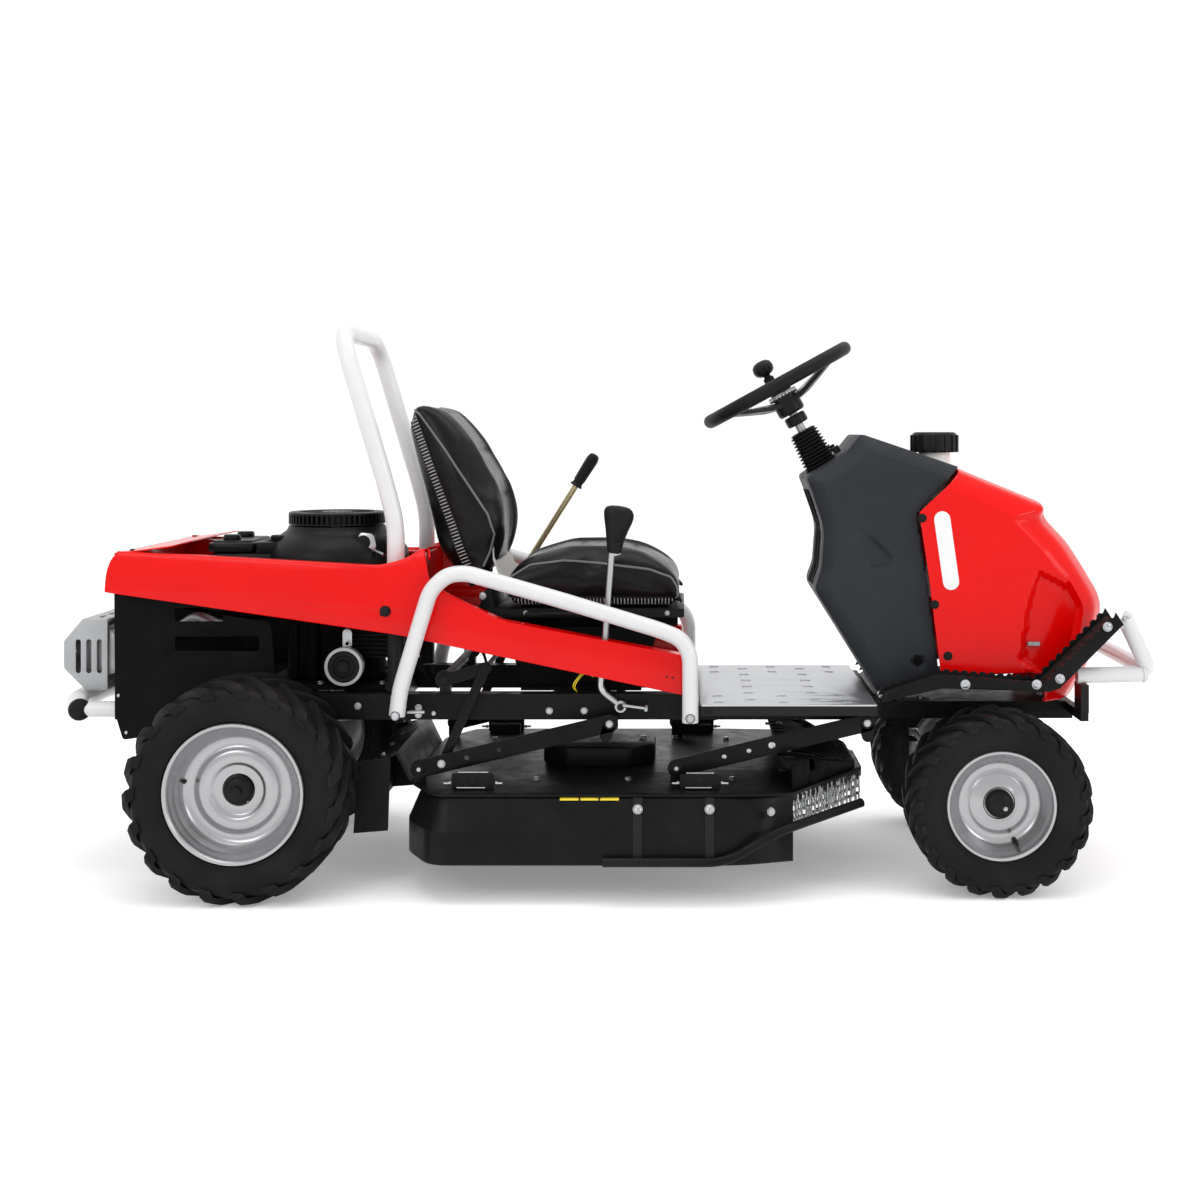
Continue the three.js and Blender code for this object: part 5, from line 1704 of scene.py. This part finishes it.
# ---------- cutter deck ----------
def inward(points, closed):
    """Unit vectors to the left of the path, at each of its points."""
    made = []
    count = len(points)
    for i in range(count):
        a = points[i - 1] if i or closed else points[i]
        b = points[(i + 1) % count] if i < count - 1 or closed else points[i]
        run = (Vector(b) - Vector(a)).normalized()
        made.append(Vector((-run.y, run.x)))
    return made


def deck():
    corners = [(430, -400), (310, -440), (-370, -440), (-440, -300), (-440, 300), (-370, 440),
               (310, 440), (430, 400)]
    path = [Vector((p.x, p.y)) for p in round_path([(x, y, 0) for x, y in corners], 42, 5)]
    # the path runs clockwise from above, so the inside is on its right
    sides = [-n for n in inward(path, False)]
    levels = ((86, 0), (90, 0), (155, 0), (158.5, 0.4), (161, 2), (212, 24), (222, 30), (229, 36),
              (233, 44), (235, 56))
    rows = []
    for z, inset in levels:
        row = []
        for p, n in zip(path, sides):
            q = p + n * inset * (smooth_step(430, 380, p.x) if p.x > 0 else 1)
            row.append((q.x, q.y, z))
        rows.append(row)
    shell = [strip(rows)]
    top = [(x * 0.985, y * 0.93) for x, y in corners[1:-1]]
    top_outline = [(612, -100), (428, -397), *top, (428, 397), (612, 100)]
    shell.append(plate(rounded(top_outline, [6, 8, 24, 30, 30, 30, 30, 24, 8, 6]), (229.4, 235),
                       "XY",
                       edge=1.2))
    lip = [strip([[(428, side * 398, z), (613, side * 101, z)] for z in (235, 214)]) for _,
           side in SIDES]
    lip.append(strip([[(613, -101, z), (613, 101, z)] for z in (235, 214)]))
    made = piece("deck_wall_sheet", "deck", [(BLACK, shell[:1] + lip)], sharp=32)
    hollow(made, 3)

    tubes, parts, bolts, labels, matt = [], [], [], [], []
    for _, side in SIDES:
        y = side * 456
        tubes.append(sweep(round_path([(11, y, 97), (278, y, 97), (397, y, 165),
                                       (592, side * 300, 193)],
                                      40, 7), 10.2, 20))
        for x in (87, 245):
            rows = [[(x - 10, side * yy, z), (x + 10, side * yy, z)]
                    for z, yy in ((90, 445), (156, 443), (161, 441), (213, 418), (228, 409))]
            parts.append(thick(strip(rows), lambda p: Vector((0, side * -2.4, -0.6))))
            tilt = Vector((0, side * 0.9, 0.42))
            bolts += dome((x, side * 423.5, 205), tilt, 9, 0.5)
            bolts.append(lathe([(0, -1), (11, -1), (11, 1.2), (0, 1.2)], (x, side * 423, 205), tilt,
                               22))
        for a, b, low, high in ((-330, -235, 235, 272), (180, 270, 235, 270)):
            parts.append(plate(rounded([(a, low), (b, low), (b, high), (a, high)], 5),
                               on_side(side, 362, 366), edge=0.8))
            parts.append(block((a + 8, b - 8), on_side(side, 330, 362), (low, high - 12)))
            parts.append(cylinder(((a + b) / 2, side * 358, high - 16),
                                  ((a + b) / 2, side * 369, high - 16),
                                  10, 20, 1))
            for x in (a - 4, b + 4):
                bolts += dome((x, side * 360, low + 14), (0, side, 0), 4.6)
                bolts.append(cylinder((x, side * 362, low + 14),
                                      (x + (14 if x > a else -14), side * 362,
                                                                 low + 14), 3, 10))
            bolts.append(sweep([(a + 12, side * 369, low + 6), (b - 20, side * 369, low + 6)], 2.2,
                               8))
            bolts.append(sweep([(a + 14, side * 362, high + 2), (b - 14, side * 362, high + 2)],
                               2.2, 8))
        labels.append(thick(strip([[(x, side * 412, 222.4), (x, side * 404, 227.6)] for x in (-85,
                                                                                              45)]),
                            lambda p: Vector((0, side * -0.4, 0.9))))
        for x in (-41.7, 1.7):
            labels_gap = block((x - 1.4, x + 1.4), on_side(side, 403, 413), (222, 229))
            matt.append(labels_gap)
        for pivot in (ARM_REAR, ARM_FRONT):
            px, pz = pivot[0] + ARM_VECTOR[0], pivot[1] + ARM_VECTOR[1]
            outline = rounded([(px - 14, 230), (px + 14, 230), (px + 14, pz + 12),
                               (px - 14, pz + 12)],
                              [0, 0, 12, 12])
            parts.append(plate(outline, on_side(side, 283, 292), edge=0.8))
            parts.append(cylinder((px, side * 291, pz), (px, side * 312, pz), 7.8, 20, 0.6))
            bolts += bolt((px - 5, side * 270, 235), UP, 8)
        for x, yy, z in ((455, 368, 221), (500, 296, 221), (545, 222, 221), (590, 150, 221)):
            bolts += dome((x, side * yy, z), (0.853, side * 0.52, 0), 6)
        bolts += bolt((380, side * 423, 200), (0.3, side, 0.1), 9)
        for x in (-415, -300, -150, 60, 300):
            bolts += bolt((x, side * 250, 235), UP, 8)
    tail_side = [(-443, 230), (-436, 230), (-470, 300), (-556, 262), (-554, 256), (-474, 290)]
    parts.append(prism(tail_side, (-244, 244)))
    for y in (-200, -70, 70, 200):
        bolts += bolt((-512, y, 281.6), (-0.4, 0, 0.9), 7)

    def front_at(y):
        return 596 if abs(y) <= 118 else 596 - (abs(y) - 118) * 166 / 267

    def level(x):
        return 300 - (x - 404) * 3 / 66 if x < 470 else 297 - (x - 470) * 45 / 126

    def shield(ys, ceiling=400):
        made_rows = []
        for y in ys:
            edge = front_at(y)
            xs = [404 + (edge - 404) * t for t in (0, 0.2, 0.34, 0.5, 0.75, 0.97, 1.0, 1.0)]
            zs = [min(level(x), ceiling) for x in xs[:-1]] + [236]
            zs[-2] -= 3
            made_rows.append([(x, y, z) for x, z in zip(xs, zs)])
        return strip(made_rows)
    ys = [-292 + 584 * k / 20 for k in range(21)]
    plates = [shield(ys)]
    for _, side in SIDES:
        plates.append(shield([side * (316 + 69 * k / 4) for k in range(5)]))
        plates.append(shield([side * 292, side * 316], 268))
    guard_sheet = piece("deck_shield_sheet", "deck", [(BLACK_MATT, plates)],
                        sharp=30)
    hollow(guard_sheet, 3)
    for k in range(13):
        y = -276 + 46 * k
        edge = front_at(y)
        parts.append(sweep([(408, y, level(408) + 0.5), ((404 + edge) / 2, y * 0.97,
                            level((404 + edge) / 2) + 0.5), (edge - 8, y * 0.92,
                            level(edge - 8) + 0.5)], 3.2, 8))
    for x, y in ((430, -240), (470, -150), (500, -60), (430, 120), (470, 220)):
        bolts += dome((x, y, level(x)), (0.1, 0, 1), 8)
    piece("deck_fittings", "deck",
          [(BLACK, [shell[1]] + tubes + parts), (STEEL, bolts), (YELLOW, labels),
           (BLACK_MATT, matt)],
          ("deck_shell",))
    cover = [plate(rounded([(-150, -60), (-90, -120), (60, -120), (120, -60), (120, 60), (60, 120),
                            (-90, 120), (-150, 60)], 14), (235.4, 284), "XY", edge=7)]
    knobs = []
    for x, y in ((-120, 0), (90, 0)):
        knobs += bolt((x, y, 284), UP, 9)
    piece("belt_cover_shell", "deck", [(PLASTIC_BLACK, cover), (STEEL, knobs)],
          ("belt_cover",))


def link(centre, long_way, wide_way, length, width, wire):
    """One chain link as a closed loop of wire."""
    loop = []
    for u, v in oval(0, 0, length, width, 0, 4):
        loop.append(centre + long_way * u + wide_way * v)
    return sweep(loop, wire, 6, closed=True)


def curtain(word, side):
    start, end = Vector((432, side * 392, 0)), Vector((608, side * 104, 0))
    run = (end - start).normalized()
    inner = (start - end).normalized().cross(Vector(UP)) * -side
    shapes = []
    length = (end - start).length
    count = 22
    for k in range(count):
        at = start + run * (length * (k + 0.5) / count) + inner * 2
        lean = Vector((0.05 * math.sin(k * 2.1), 0.05 * math.cos(k * 1.3) * side, -1)).normalized()
        twist = 0.5 * math.sin(k * 1.7)
        for j in range(4):
            turn = twist + (math.pi / 2 if j % 2 else 0)
            wide = run * math.cos(turn) + inner * math.sin(turn)
            centre = at + Vector((0, 0, 219)) + lean * (2 + 17.6 * j)
            shapes.append(link(centre, lean, wide, 22.5, 12.5, 2.3))
    rod_shape = [sweep([start + Vector((0, 0, 222)) + inner * 2,
                        end + Vector((0, 0, 222)) + inner * 2],
                       3.4, 10)]
    piece(f"chain_rows_{word}", f"chain_curtain_{word}",
          [(STEEL, shapes), (BLACK, rod_shape)], (f"chain_curtain_{word}",), sharp=180)


# ---------- small fittings on the chassis ----------
def fittings():
    bolts, black = [], []
    for _, side in SIDES:
        for x, z in ((-700, 405), (-560, 405), (-120, 394), (-40, 394), (300, 394), (560, 394)):
            bolts += bolt((x, side * 258, z), (0, side, 0), 8)
        bolts += dome((-386, side * 258, 388), (0, side, 0), 6)
        for pivot in (ARM_REAR, ARM_FRONT):
            bolts += bolt((pivot[0], side * 312.4, pivot[1]), (0, side, 0), 8)
        # a bearing ring at each end of the lift shaft
        black.append(lathe([(13, 0), (21, 0), (21, 6), (13, 6), (13, 0)],
                           (LIFT_SHAFT[0], side * 254, LIFT_SHAFT[1]), (0, side, 0), 28))
        for x, y in ((1090, 80), (1090, -80), (1060, 0), (700, 60), (760, -60)):
            bolts += bolt((x, y, 391), UP, 7)
        bolts += bolt((1109, side * 240, 440), (0, side, 0), 8)
    # a black sheet down the middle of the tail, behind the side panels' windows: painted shade for
    # the dark inside of the tail
    shield = [plate(rounded([(-1090, 436), (-815, 436), (-815, 640), (-1090, 655)], 8), (-2, 2))]
    piece("chassis_fittings", "chassis",
          [(STEEL, bolts), (BLACK, black), (BLACK_MATT, shield)])


def dress():
    """Materials for the CAD pieces that are shown as they are."""
    table = {"chassis_frame": BLACK, "transaxle": BLACK_MATT, "seat_support": BLACK_MATT,
             "battery": PLASTIC_BLACK, "steering_gear": DULL_STEEL, "front_axle": BLACK,
             "knuckle_right": BLACK, "knuckle_left": BLACK, "tie_rod": DULL_STEEL,
             "blade_spindle": DULL_STEEL, "blade_front": DULL_STEEL, "blade_rear": DULL_STEEL,
             "rear_flap": RUBBER, "brake_pedal": BLACK}
    for name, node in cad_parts.items():
        if name in table and node.data:
            node.data.materials.clear()
            node.data.materials.append(table[name])


engine()
fuel()
deck()
for word, side in SIDES:
    curtain(word, side)
fittings()
dress()
